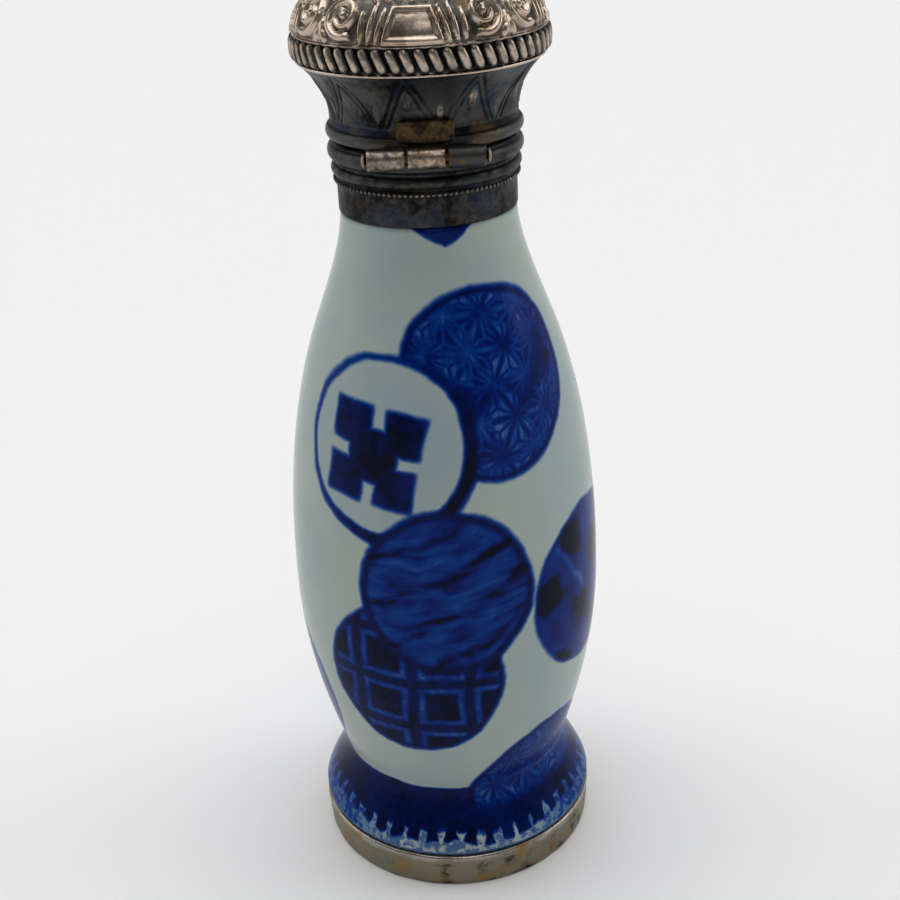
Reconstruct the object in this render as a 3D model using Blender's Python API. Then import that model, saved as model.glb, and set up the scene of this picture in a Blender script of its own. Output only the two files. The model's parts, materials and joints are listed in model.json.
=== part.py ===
"""A porcelain perfume bottle with a silver collar, a hinged repousse silver lid and a metal foot band.

Metres, +Z up. The bottle stands on z = 0 with its axis on the Z axis, and its hinge faces -Y.
Every turned piece is described by its section: radii and heights, built ring by ring.
"""

import math

import bmesh
import bpy

# The gap that parts which touch in the real bottle keep between their meshes
SEAT_GAP = 0.0003

# Metal foot band, a strip turned in under the porcelain as a shelf
FOOT_BAND_HEIGHT = 0.0034
FOOT_BAND_RADIUS = 0.0130
FOOT_BAND_FLARE = 0.0002
FOOT_BAND_WALL = 0.0006
FOOT_BAND_ROUNDING = 0.00025
FOOT_SHELF_THICKNESS = 0.0009
FOOT_SHELF_WIDTH = 0.0019

# Porcelain spreading foot, above the band
FOOT_RISE = 0.0059
FOOT_EDGE_RADIUS = 0.01315
FOOT_EDGE_ROUNDING = 0.0005
FOOT_EDGE_SLOPE = -0.35
FOOT_TOP_SLOPE = -0.10
FOOT_RING_WIDTH = 0.0022
FOOT_RECESS_DEPTH = 0.0010

# Porcelain body, from the waist over the belly and the shoulder to the neck
WAIST_RADIUS = 0.0107
WAIST_SLOPE = 0.34
LOWER_BODY_LENGTH = 0.0184
BELLY_RADIUS = 0.01405
UPPER_BODY_LENGTH = 0.0220
SHOULDER_RADIUS = 0.01125
SHOULDER_SLOPE = -0.30
NECK_LENGTH = 0.0126
NECK_RADIUS = 0.0074
NECK_SLOPE = -0.07
BODY_WALL = 0.0018
BASE_THICKNESS = 0.0030
CAVITY_CORNER = 0.0020

# The spigot of the neck, which the collar slides over, and its mouth
SPIGOT_WALL = 0.0018
SPIGOT_RADIUS = 0.0066
MOUTH_RISE = 0.0005
MOUTH_ROUNDING = 0.0005

# Silver collar
COLLAR_WALL = 0.0006
COLLAR_BAND_HEIGHT = 0.0022
COLLAR_RIDGE_HEIGHT = 0.0005
COLLAR_RIDGE_PROUD = 0.00013
LOWER_BEAD_HEIGHT = 0.0009
LOWER_BEAD_PROUD = 0.0004
UPPER_BEAD_HEIGHT = 0.0012
UPPER_BEAD_PROUD = 0.0004
COLLAR_FLARE = 0.0002
COLLAR_GROOVE_HEIGHT = 0.0004

# Silver lid: bead, waist, concave flare, gadrooned band and repousse dome
LID_WALL = 0.0006
LID_BEAD_HEIGHT = 0.0011
LID_BEAD_PROUD = 0.0004
LID_WAIST_RADIUS = 0.00772
LID_WAIST_HEIGHT = 0.0005
LID_FLARE_HEIGHT = 0.0044
LID_LIP_RADIUS = 0.0099
LID_FLARE_POWER = 2.1
LIP_HEIGHT = 0.0003
GADROON_HEIGHT = 0.0020
GADROON_PROUD = 0.00055
GADROON_COUNT = 60
GADROON_DEPTH = 0.00032
GADROON_SLANT = 0.55
DOME_HEIGHT = 0.0053
DOME_OVERHANG = 0.0001

# Repousse work on the dome: framed plain panels with scrolls and shells between them
PANEL_COUNT = 4
PANEL_TURN = math.radians(-3.4)
PANEL_FOOT_WIDTH = 0.0050
PANEL_HEAD_WIDTH = 0.0036
PANEL_FOOT = 0.0004
PANEL_RISE = 0.0032
PANEL_BORDER = 0.0007
PANEL_BORDER_PROUD = 0.0003
SCROLL_RADIUS = 0.0012
SCROLL_PROUD = 0.0004
SCROLL_STROKE = 0.0005
SCROLL_TURNS = 0.85
SCROLL_WINDING = 0.55
SCROLL_SPACE = 0.0016
SCROLL_RISE = 0.0020
SHELL_LENGTH = 0.0034
SHELL_LOBES = 5
SHELL_FAN = math.radians(75)
SHELL_RIM_SHARE = 0.6
ROSETTE_LOBES = 12
ROSETTE_PROUD = 0.0002
ROSETTE_START_SHARE = 0.62
ROSETTE_FADE_SHARE = 0.2

# Three-knuckle hinge at the seam of collar and lid
HINGE_RADIUS = 0.000875
KNUCKLE_LENGTH = 0.0029
KNUCKLE_GAP = 0.0002
PIN_RADIUS = 0.00032
PIN_FIT = 0.00020
PIN_HEAD_RADIUS = 0.00056
PIN_HEAD_LENGTH = 0.00025
LEAF_WIDTH = 0.0046
LEAF_HEIGHT = 0.0018
LEAF_PROUD = 0.00060
LEAF_CORNER = 0.0005

# How finely the rings are divided
BODY_COLUMNS = 40
LID_COLUMNS = 2 * GADROON_COUNT
PIN_COLUMNS = 12

# Heights, from the table up
FOOT_SEAT = FOOT_SHELF_THICKNESS + SEAT_GAP
FOOT_EDGE = FOOT_BAND_HEIGHT + SEAT_GAP
WAIST = FOOT_EDGE + FOOT_RISE
BELLY = WAIST + LOWER_BODY_LENGTH
SHOULDER = BELLY + UPPER_BODY_LENGTH
NECK_TOP = SHOULDER + NECK_LENGTH
COLLAR_FOOT = NECK_TOP + SEAT_GAP
RIDGE_FOOT = COLLAR_FOOT + COLLAR_BAND_HEIGHT
LOWER_BEAD_FOOT = RIDGE_FOOT + COLLAR_RIDGE_HEIGHT + COLLAR_GROOVE_HEIGHT / 2
UPPER_BEAD_FOOT = LOWER_BEAD_FOOT + LOWER_BEAD_HEIGHT + COLLAR_GROOVE_HEIGHT
COLLAR_TOP = UPPER_BEAD_FOOT + UPPER_BEAD_HEIGHT + COLLAR_GROOVE_HEIGHT / 2
LID_FOOT = COLLAR_TOP + SEAT_GAP
LID_WAIST = LID_FOOT + LID_BEAD_HEIGHT + LID_WAIST_HEIGHT
LIP_FOOT = LID_WAIST + LID_FLARE_HEIGHT
GADROON_FOOT = LIP_FOOT + LIP_HEIGHT
DOME_FOOT = GADROON_FOOT + GADROON_HEIGHT
DOME_TOP = DOME_FOOT + DOME_HEIGHT
MOUTH_TOP = COLLAR_TOP + MOUTH_RISE
CAVITY_FLOOR = FOOT_SEAT + FOOT_RECESS_DEPTH + BASE_THICKNESS

# Radii that follow from what each piece sits in or on
FOOT_SPIGOT_RADIUS = FOOT_BAND_RADIUS - FOOT_BAND_WALL - SEAT_GAP
BORE_RADIUS = SPIGOT_RADIUS - SPIGOT_WALL
COLLAR_BORE_RADIUS = SPIGOT_RADIUS + SEAT_GAP
COLLAR_RADIUS = COLLAR_BORE_RADIUS + COLLAR_WALL
COLLAR_TOP_RADIUS = COLLAR_RADIUS + COLLAR_FLARE
LID_BORE_RADIUS = LID_WAIST_RADIUS - LID_WALL
DOME_RADIUS = LID_LIP_RADIUS + DOME_OVERHANG

# The hinge axis runs along X at this place, clear of the beads on both sides of the seam
WIDEST_BEAD = max(COLLAR_TOP_RADIUS + UPPER_BEAD_PROUD, LID_WAIST_RADIUS + LID_BEAD_PROUD)
HINGE_Y = -(WIDEST_BEAD + HINGE_RADIUS)
HINGE_Z = (COLLAR_TOP + LID_FOOT) / 2


def cubic(start, end, steps):
    """(radius, height) along the curve between two (radius, height, slope) stations, without its end."""
    radius_a, height_a, slope_a = start
    radius_b, height_b, slope_b = end
    rise = height_b - height_a
    points = []
    for step in range(steps):
        t = step / steps
        radius = (
            radius_a * (2 * t**3 - 3 * t**2 + 1)
            + slope_a * rise * (t**3 - 2 * t**2 + t)
            + radius_b * (3 * t**2 - 2 * t**3)
            + slope_b * rise * (t**3 - t**2)
        )
        points.append((radius, height_a + rise * t))
    return points


def arc(centre_radius, centre_height, across, along, start, end, steps):
    """(radius, height) along an elliptical arc of the section, from start to end in degrees."""
    points = []
    for step in range(steps + 1):
        angle = math.radians(start + (end - start) * step / steps)
        points.append((centre_radius + across * math.cos(angle), centre_height + along * math.sin(angle)))
    return points


def bead(radius, foot, height, proud, steps=4):
    """The section of a half-round moulding that stands on a plain wall, from its foot to its top."""
    return arc(radius, foot + height / 2, proud, height / 2, -90, 90, steps)


def with_columns(points, columns):
    return [(radius, height, columns, 0.0, None) for radius, height in points]


def ring_angle(column, columns, twist):
    """Angles run from the hinge side, -Y, towards +X, which is anticlockwise from above."""
    return 2 * math.pi * column / columns + twist


def add_ring(mesh, row):
    radius, height, columns, twist, relief = row
    if radius == 0:
        return [mesh.verts.new((0, 0, height))]
    ring = []
    for column in range(columns):
        angle = ring_angle(column, columns, twist)
        reach = radius
        lift = 0.0
        if relief:
            across, lift = relief(angle)
            reach = radius + across
        ring.append(mesh.verts.new((reach * math.sin(angle), -reach * math.cos(angle), height + lift)))
    return ring


def join_rings(mesh, lower, upper):
    """Faces between two rings of as many points, of twice as many, or with a single point for a pole."""
    count = max(len(lower), len(upper))
    for column in range(count):
        following = (column + 1) % count
        if len(lower) == len(upper):
            mesh.faces.new((lower[column], lower[following], upper[following], upper[column]))
        elif len(upper) == 1:
            mesh.faces.new((lower[column], lower[following], upper[0]))
        elif len(lower) == 1:
            mesh.faces.new((lower[0], upper[following], upper[column]))
    if 1 in (len(lower), len(upper)) or len(lower) == len(upper):
        return
    fine_below = len(lower) > len(upper)
    coarse, fine = (upper, lower) if fine_below else (lower, upper)
    for column in range(len(coarse)):
        left = coarse[column]
        right = coarse[(column + 1) % len(coarse)]
        first = fine[2 * column]
        middle = fine[2 * column + 1]
        last = fine[(2 * column + 2) % len(fine)]
        for corners in ((left, first, middle), (left, middle, right), (right, middle, last)):
            mesh.faces.new(corners if fine_below else corners[::-1])


def turned_mesh(name, rows, closed_section=False):
    """A mesh turned about the Z axis. A closed section makes a ring, and an open one starts and ends on the axis."""
    mesh = bmesh.new()
    rings = [add_ring(mesh, row) for row in rows]
    for lower, upper in zip(rings, rings[1:]):
        join_rings(mesh, lower, upper)
    if closed_section:
        join_rings(mesh, rings[-1], rings[0])
    return finished_mesh(name, mesh)


def finished_mesh(name, mesh):
    bmesh.ops.recalc_face_normals(mesh, faces=mesh.faces)
    data = bpy.data.meshes.new(name)
    mesh.to_mesh(data)
    mesh.free()
    data.shade_smooth()
    data.set_sharp_from_angle(angle=math.radians(40))
    return data


def add_object(name, data, material=None):
    placed = bpy.data.objects.new(name, data)
    bpy.context.scene.collection.objects.link(placed)
    if material:
        data.materials.append(material)
    return placed


def make_helper(piece):
    """A shape that is only joined to or cut from another one."""
    piece.hide_render = True
    piece.display_type = "WIRE"
    return piece


def combine(piece, helper, operation):
    boolean = piece.modifiers.new(helper.name, "BOOLEAN")
    boolean.operation = operation
    boolean.object = make_helper(helper)


def principled(name, colour, roughness, metallic):
    material = bpy.data.materials.new(name)
    material.use_nodes = True
    shader = material.node_tree.nodes["Principled BSDF"]
    shader.inputs["Base Color"].default_value = (*colour, 1.0)
    shader.inputs["Roughness"].default_value = roughness
    shader.inputs["Metallic"].default_value = metallic
    return material


def make_materials():
    return {
        "porcelain": principled("glazed_porcelain", (0.42, 0.47, 0.46), 0.12, 0.0),
        "silver": principled("tarnished_silver", (0.28, 0.26, 0.24), 0.35, 1.0),
        "foot": principled("worn_foot_metal", (0.26, 0.23, 0.15), 0.45, 1.0),
        "pin": principled("hinge_pin_metal", (0.45, 0.38, 0.28), 0.35, 1.0),
    }


def outer_body():
    """The porcelain's outside, from the edge of the foot to the step under the collar."""
    waist_below = (WAIST_RADIUS, WAIST, FOOT_TOP_SLOPE)
    waist_above = (WAIST_RADIUS, WAIST, WAIST_SLOPE)
    edge_top = FOOT_EDGE + FOOT_EDGE_ROUNDING
    belly = (BELLY_RADIUS, BELLY, 0.0)
    shoulder = (SHOULDER_RADIUS, SHOULDER, SHOULDER_SLOPE)
    neck = (NECK_RADIUS, NECK_TOP, NECK_SLOPE)
    return (
        [(FOOT_EDGE_RADIUS - FOOT_EDGE_ROUNDING, FOOT_EDGE)]
        + cubic((FOOT_EDGE_RADIUS, edge_top, FOOT_EDGE_SLOPE), waist_below, 4)
        + cubic(waist_above, belly, 5)
        + cubic(belly, shoulder, 5)
        + cubic(shoulder, neck, 4)
        + [(NECK_RADIUS, NECK_TOP)]
    )


def cavity():
    """The inside of the bottle, from the bore of the neck down to the floor."""
    waist = (WAIST_RADIUS - BODY_WALL, WAIST, WAIST_SLOPE)
    belly = (BELLY_RADIUS - BODY_WALL, BELLY, 0.0)
    shoulder = (SHOULDER_RADIUS - BODY_WALL, SHOULDER, SHOULDER_SLOPE)
    neck = (BORE_RADIUS, NECK_TOP, 0.0)
    upwards = (
        cubic(waist, belly, 4) + cubic(belly, shoulder, 4) + cubic(shoulder, neck, 3) + [(BORE_RADIUS, NECK_TOP)]
    )
    foot = arc(
        WAIST_RADIUS - BODY_WALL - CAVITY_CORNER,
        CAVITY_FLOOR + CAVITY_CORNER,
        CAVITY_CORNER,
        CAVITY_CORNER,
        0,
        -90,
        3,
    )
    return upwards[::-1] + foot


def make_porcelain(material):
    recess_radius = FOOT_SPIGOT_RADIUS - FOOT_RING_WIDTH
    recess_top = FOOT_SEAT + FOOT_RECESS_DEPTH
    underside = [
        (recess_radius, recess_top),
        (recess_radius, FOOT_SEAT),
        (FOOT_SPIGOT_RADIUS, FOOT_SEAT),
        (FOOT_SPIGOT_RADIUS, FOOT_EDGE),
    ]
    mouth = [
        (SPIGOT_RADIUS, NECK_TOP),
        (SPIGOT_RADIUS, MOUTH_TOP - MOUTH_ROUNDING),
        (SPIGOT_RADIUS - MOUTH_ROUNDING, MOUTH_TOP),
    ]
    bore = [(BORE_RADIUS + MOUTH_ROUNDING, MOUTH_TOP), (BORE_RADIUS, MOUTH_TOP - MOUTH_ROUNDING)]
    rows = (
        [(0.0, recess_top, 1, 0.0, None)]
        + with_columns(underside + outer_body() + mouth, BODY_COLUMNS)
        + with_columns(bore + cavity(), BODY_COLUMNS // 2)
        + [(0.0, CAVITY_FLOOR, 1, 0.0, None)]
    )
    return add_object("porcelain_bottle", turned_mesh("porcelain_bottle", rows), material)


def make_foot_mount(material):
    top_radius = FOOT_BAND_RADIUS + FOOT_BAND_FLARE
    bore = FOOT_BAND_RADIUS - FOOT_BAND_WALL
    section = [
        (bore - FOOT_SHELF_WIDTH, 0.0),
        (FOOT_BAND_RADIUS - FOOT_BAND_ROUNDING, 0.0),
        (FOOT_BAND_RADIUS, FOOT_BAND_ROUNDING),
        (top_radius, FOOT_BAND_HEIGHT - FOOT_BAND_ROUNDING),
        (top_radius - FOOT_BAND_ROUNDING, FOOT_BAND_HEIGHT),
        (bore, FOOT_BAND_HEIGHT),
        (bore, FOOT_SHELF_THICKNESS),
        (bore - FOOT_SHELF_WIDTH, FOOT_SHELF_THICKNESS),
    ]
    data = turned_mesh("foot_mount", with_columns(section, BODY_COLUMNS), closed_section=True)
    return add_object("foot_mount", data, material)


def collar_section():
    """The collar's outside, from its foot to its top, and a core that the bore is cut through."""
    core = BORE_RADIUS
    outside = (
        [(COLLAR_RADIUS, COLLAR_FOOT), (COLLAR_RADIUS, RIDGE_FOOT)]
        + bead(COLLAR_RADIUS, RIDGE_FOOT, COLLAR_RIDGE_HEIGHT, COLLAR_RIDGE_PROUD, 2)[1:]
        + bead(COLLAR_RADIUS, LOWER_BEAD_FOOT, LOWER_BEAD_HEIGHT, LOWER_BEAD_PROUD)
        + bead(COLLAR_TOP_RADIUS, UPPER_BEAD_FOOT, UPPER_BEAD_HEIGHT, UPPER_BEAD_PROUD)
        + [(COLLAR_TOP_RADIUS, COLLAR_TOP)]
    )
    return outside + [(core, COLLAR_TOP), (core, COLLAR_FOOT)]


def cylinder_along_z(name, radius, foot, top, columns):
    """A plain drum on the Z axis, for cutting a bore."""
    rows = [(0.0, foot, 1, 0.0, None)]
    rows += with_columns([(radius, foot), (radius, top)], columns)
    rows += [(0.0, top, 1, 0.0, None)]
    return add_object(name, turned_mesh(name, rows))


def prism_along_x(name, outline, start, end):
    """A solid with the same (y, z) outline all along X."""
    mesh = bmesh.new()
    near = [mesh.verts.new((start, y, z)) for y, z in outline]
    far = [mesh.verts.new((end, y, z)) for y, z in outline]
    mesh.faces.new(near[::-1])
    mesh.faces.new(far)
    for index in range(len(outline)):
        following = (index + 1) % len(outline)
        mesh.faces.new((near[index], near[following], far[following], far[index]))
    return add_object(name, finished_mesh(name, mesh))


def hinge_circle(radius, start, end, steps):
    points = []
    for step in range(steps + 1):
        angle = math.radians(start + (end - start) * step / steps)
        points.append((HINGE_Y + radius * math.cos(angle), HINGE_Z + radius * math.sin(angle)))
    return points


def knuckle_outline(side):
    """A barrel whose tongue runs back into the collar (side -1) or the lid (side +1)."""
    seam = math.degrees(math.asin(SEAT_GAP / HINGE_RADIUS))
    barrel = hinge_circle(HINGE_RADIUS, 90, 360 + seam, 14)
    tongue_end = -BORE_RADIUS
    outline = barrel + [(tongue_end, barrel[-1][1]), (tongue_end, barrel[0][1])]
    if side > 0:
        return outline
    return [(y, 2 * HINGE_Z - z) for y, z in outline]


def make_knuckle(name, side, centre):
    return prism_along_x(name, knuckle_outline(side), centre - KNUCKLE_LENGTH / 2, centre + KNUCKLE_LENGTH / 2)


def make_pin_bore(name):
    reach = 2 * KNUCKLE_LENGTH
    bore = hinge_circle(PIN_RADIUS + PIN_FIT, 0, 330, 11)
    return prism_along_x(name, bore, -reach, reach)


def make_neck_mount(material):
    pitch = KNUCKLE_LENGTH + KNUCKLE_GAP
    data = turned_mesh("neck_mount", with_columns(collar_section(), BODY_COLUMNS), closed_section=True)
    collar = add_object("neck_mount", data, material)
    combine(collar, make_knuckle("left_knuckle", -1, -pitch), "UNION")
    combine(collar, make_knuckle("right_knuckle", -1, pitch), "UNION")
    bore_reach = COLLAR_BAND_HEIGHT
    bore = cylinder_along_z(
        "collar_bore", COLLAR_BORE_RADIUS, COLLAR_FOOT - bore_reach, COLLAR_TOP + bore_reach, BODY_COLUMNS
    )
    combine(collar, bore, "DIFFERENCE")
    combine(collar, make_pin_bore("collar_pin_bore"), "DIFFERENCE")
    return collar


def dome_point(share):
    """(radius, height) on the plain dome, and its outward direction, at a share of the way to the top."""
    angle = math.radians(90 * share)
    radius = DOME_RADIUS * math.cos(angle)
    height = DOME_FOOT + DOME_HEIGHT * math.sin(angle)
    out = math.cos(angle) / DOME_RADIUS
    up = math.sin(angle) / DOME_HEIGHT
    length = math.hypot(out, up)
    return radius, height, out / length, up / length


def dome_length(share, steps=24):
    """The distance over the dome's surface from its foot to a share of the way up."""
    total = 0.0
    for step in range(steps):
        before = dome_point(share * step / steps)
        after = dome_point(share * (step + 1) / steps)
        total += math.hypot(after[0] - before[0], after[1] - before[1])
    return total


def bump(distance, half_width):
    """A rounded ridge, 1 on its middle line and 0 at its edge."""
    if distance >= half_width:
        return 0.0
    return 0.5 + 0.5 * math.cos(math.pi * distance / half_width)


def panel_relief(across, up):
    """A bevelled frame round a plain field that tapers upwards. Lengths are over the surface."""
    share = min(max((up - PANEL_FOOT) / PANEL_RISE, 0.0), 1.0)
    half = (PANEL_FOOT_WIDTH + (PANEL_HEAD_WIDTH - PANEL_FOOT_WIDTH) * share) / 2
    outside = max(abs(across) - half, PANEL_FOOT - up, up - PANEL_FOOT - PANEL_RISE)
    border_middle = -PANEL_BORDER / 2
    return PANEL_BORDER_PROUD * bump(abs(outside - border_middle), PANEL_BORDER)


def scroll_relief(across, up, centre_across, centre_up):
    """A C-scroll: a stroke that winds in on itself towards its centre."""
    out = math.hypot(across - centre_across, up - centre_up)
    turn = math.atan2(up - centre_up, across - centre_across) / (2 * math.pi)
    nearest = out
    for lap in (-1, 0, 1):
        wound = turn + lap + 0.5
        if 0 <= wound <= SCROLL_TURNS + 0.5:
            nearest = min(nearest, abs(out - SCROLL_RADIUS * (1 - SCROLL_WINDING * wound)))
    return SCROLL_PROUD * bump(nearest, SCROLL_STROKE)


def shell_relief(across, up):
    """A shell whose lobes fan out from its foot."""
    out = math.hypot(across, up)
    turn = math.atan2(across, up) if up > 0 else math.pi
    if abs(turn) > SHELL_FAN:
        return 0.0
    lobe = abs(math.cos(turn / SHELL_FAN * math.pi * SHELL_LOBES / 2))
    rim = SHELL_LENGTH * SHELL_RIM_SHARE
    return SCROLL_PROUD * lobe * bump(abs(out - rim), SHELL_LENGTH - rim)


def dome_relief(angle, share):
    """How far the repousse work stands out of the dome at this place."""
    up = dome_length(share)
    sector = 2 * math.pi / PANEL_COUNT
    turn = (angle - PANEL_TURN + sector / 2) % sector - sector / 2
    across = abs(turn) * DOME_RADIUS
    sector_width = sector * DOME_RADIUS
    scroll_across = PANEL_FOOT_WIDTH / 2 + SCROLL_SPACE
    rosette = min(max((share - ROSETTE_START_SHARE) / ROSETTE_FADE_SHARE, 0.0), 1.0) * (1 - share)
    return max(
        panel_relief(across, up),
        scroll_relief(across, up, scroll_across, PANEL_FOOT + SCROLL_RISE),
        shell_relief(across - sector_width / 2, up - PANEL_FOOT),
        ROSETTE_PROUD * rosette * abs(math.cos(angle * ROSETTE_LOBES / 2)),
    )


def dome_row(share, columns):
    radius, height, out, up = dome_point(share)

    def relief(angle):
        proud = dome_relief(angle, share)
        return proud * out, proud * up

    return (radius, height, columns, 0.0, relief)


def gadroon_row(share):
    """One ring of the slanted gadroons: every second point is sunk."""
    swell = math.sin(math.pi * share)
    radius = LID_LIP_RADIUS + (DOME_RADIUS - LID_LIP_RADIUS) * share + GADROON_PROUD * swell
    twist = -GADROON_SLANT * (share - 0.5) * 2 * math.pi / GADROON_COUNT
    depth = GADROON_DEPTH * swell

    def relief(angle):
        column = round((angle - twist) / (2 * math.pi) * LID_COLUMNS)
        return (-depth if column % 2 else 0.0), 0.0

    return (radius, GADROON_FOOT + GADROON_HEIGHT * share, LID_COLUMNS, twist, relief)


def flare_radius(height):
    share = (height - LID_WAIST) / LID_FLARE_HEIGHT
    return LID_WAIST_RADIUS + (LID_LIP_RADIUS - LID_WAIST_RADIUS) * share**LID_FLARE_POWER


def lid_outside():
    lower = [(LID_WAIST_RADIUS, LID_FOOT)]
    lower += bead(LID_WAIST_RADIUS, LID_FOOT, LID_BEAD_HEIGHT, LID_BEAD_PROUD)[1:]
    for share in (0.0, 0.35, 0.6, 0.8, 1.0):
        height = LID_WAIST + LID_FLARE_HEIGHT * share
        lower.append((flare_radius(height), height))
    rows = with_columns(lower, LID_COLUMNS // 2)
    rows += [gadroon_row(share) for share in (0.0, 0.2, 0.5, 0.8, 1.0)]
    rows += [dome_row(share, LID_COLUMNS) for share in (0.05, 0.11, 0.18, 0.25, 0.32)]
    rows += [dome_row(share, LID_COLUMNS // 2) for share in (0.4, 0.52, 0.66)]
    rows += [dome_row(share, LID_COLUMNS // 4) for share in (0.82, 0.93)]
    return rows


def lid_inside():
    """The inside of the lid, from the top down, one wall inside the outside."""
    points = []
    for share in (0.75, 0.5, 0.25, 0.0):
        angle = math.radians(90 * share)
        across = (DOME_RADIUS - LID_WALL) * math.cos(angle)
        along = (DOME_HEIGHT - LID_WALL) * math.sin(angle)
        points.append((across, DOME_FOOT + along))
    for share in (1.0, 0.7, 0.35, 0.0):
        height = LID_WAIST + LID_FLARE_HEIGHT * share
        points.append((flare_radius(height) - LID_WALL, height))
    points.append((LID_BORE_RADIUS, LID_FOOT))
    return points


def make_leaf(name):
    """The plate that fixes the lid's knuckle: it follows the lid's round side."""
    inner = LID_WAIST_RADIUS - LID_WALL / 2
    outer = LID_WAIST_RADIUS + LEAF_PROUD
    foot = HINGE_Z + HINGE_RADIUS
    half = LEAF_WIDTH / 2
    mesh = bmesh.new()
    rings = []
    steps = 8
    for step in range(steps + 1):
        across = -half + LEAF_WIDTH * step / steps
        from_end = half - abs(across)
        cut = LEAF_CORNER * max(0.0, 1 - from_end / LEAF_CORNER)
        angle = across / outer
        corners = (
            (inner, foot + cut / 2),
            (outer, foot + cut / 2),
            (outer, foot + LEAF_HEIGHT - cut),
            (inner, foot + LEAF_HEIGHT - cut),
        )
        rings.append([mesh.verts.new((r * math.sin(angle), -r * math.cos(angle), z)) for r, z in corners])
    for before, after in zip(rings, rings[1:]):
        for index in range(4):
            following = (index + 1) % 4
            mesh.faces.new((before[index], before[following], after[following], after[index]))
    mesh.faces.new(rings[0])
    mesh.faces.new(rings[-1][::-1])
    return add_object(name, finished_mesh(name, mesh))


def make_lid_knuckle(name):
    """The lid's own knuckle, stopped inside the wall of the lid by a round cut."""
    knuckle = make_knuckle(name, 1, 0.0)
    wall_middle = LID_WAIST_RADIUS - LID_WALL / 2
    reach = LID_BEAD_HEIGHT
    stop = cylinder_along_z("knuckle_stop", wall_middle, LID_FOOT - reach, LID_WAIST + reach, LID_COLUMNS // 2)
    combine(knuckle, stop, "DIFFERENCE")
    return knuckle


def make_lid(material):
    rows = lid_outside()
    rows += [(0.0, DOME_TOP, 1, 0.0, None)]
    inside = [(0.0, DOME_TOP - LID_WALL, 1, 0.0, None)]
    inside += with_columns(lid_inside(), LID_COLUMNS // 4)
    data = shell_mesh("lid", rows, inside)
    lid = add_object("lid", data, material)
    combine(lid, make_lid_knuckle("lid_knuckle"), "UNION")
    combine(lid, make_leaf("lid_leaf"), "UNION")
    combine(lid, make_pin_bore("lid_pin_bore"), "DIFFERENCE")
    return lid


def shell_mesh(name, outside, inside):
    """An open-bottomed shell: the outside runs up to its pole and the inside down from its own."""
    mesh = bmesh.new()
    outer = [add_ring(mesh, row) for row in outside]
    inner = [add_ring(mesh, row) for row in inside]
    for lower, upper in zip(outer, outer[1:]):
        join_rings(mesh, lower, upper)
    for lower, upper in zip(inner, inner[1:]):
        join_rings(mesh, lower, upper)
    join_rings(mesh, inner[-1], outer[0])
    return finished_mesh(name, mesh)


def make_pin(material):
    """A pin with a domed head at each end, turned about the hinge axis."""
    reach = 1.5 * KNUCKLE_LENGTH + KNUCKLE_GAP + KNUCKLE_GAP
    half = [
        (PIN_RADIUS, 0.0),
        (PIN_RADIUS, reach),
        (PIN_HEAD_RADIUS, reach),
        (PIN_HEAD_RADIUS * 0.7, reach + PIN_HEAD_LENGTH),
    ]
    section = [(radius, -place) for radius, place in half[:0:-1]] + half[1:]
    ends = reach + PIN_HEAD_LENGTH
    rows = [(0.0, -ends, 1, 0.0, None)] + with_columns(section, PIN_COLUMNS) + [(0.0, ends, 1, 0.0, None)]
    pin = add_object("hinge_pin", turned_mesh("hinge_pin", rows), material)
    pin.location = (0.0, HINGE_Y, HINGE_Z)
    pin.rotation_euler = (0.0, math.radians(90), 0.0)
    return pin


def clear_scene():
    for existing in list(bpy.data.objects):
        bpy.data.objects.remove(existing, do_unlink=True)


def put_origin_on_hinge(piece):
    """Moves the lid's origin to the hinge axis, with the lid where it was."""
    for vertex in piece.data.vertices:
        vertex.co.y -= HINGE_Y
        vertex.co.z -= HINGE_Z
    piece.location = (0.0, HINGE_Y, HINGE_Z)


def main():
    clear_scene()
    materials = make_materials()
    make_porcelain(materials["porcelain"])
    make_foot_mount(materials["foot"])
    make_neck_mount(materials["silver"])
    put_origin_on_hinge(make_lid(materials["silver"]))
    make_pin(materials["pin"])


main()
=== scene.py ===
"""The looks of a small porcelain perfume bottle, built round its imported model.

Metres, +Z up. The bottle's axis is the Z axis and its hinge faces -Y.
Angles run from -Y towards +X. Painted patterns and chased relief are worked out in millimetres.
"""

import json
import math

import bmesh
import bpy
import numpy as np
from bpy.props import FloatProperty, FloatVectorProperty, IntProperty, PointerProperty
from mathutils import Matrix, Vector
from mathutils.geometry import tessellate_polygon


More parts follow.
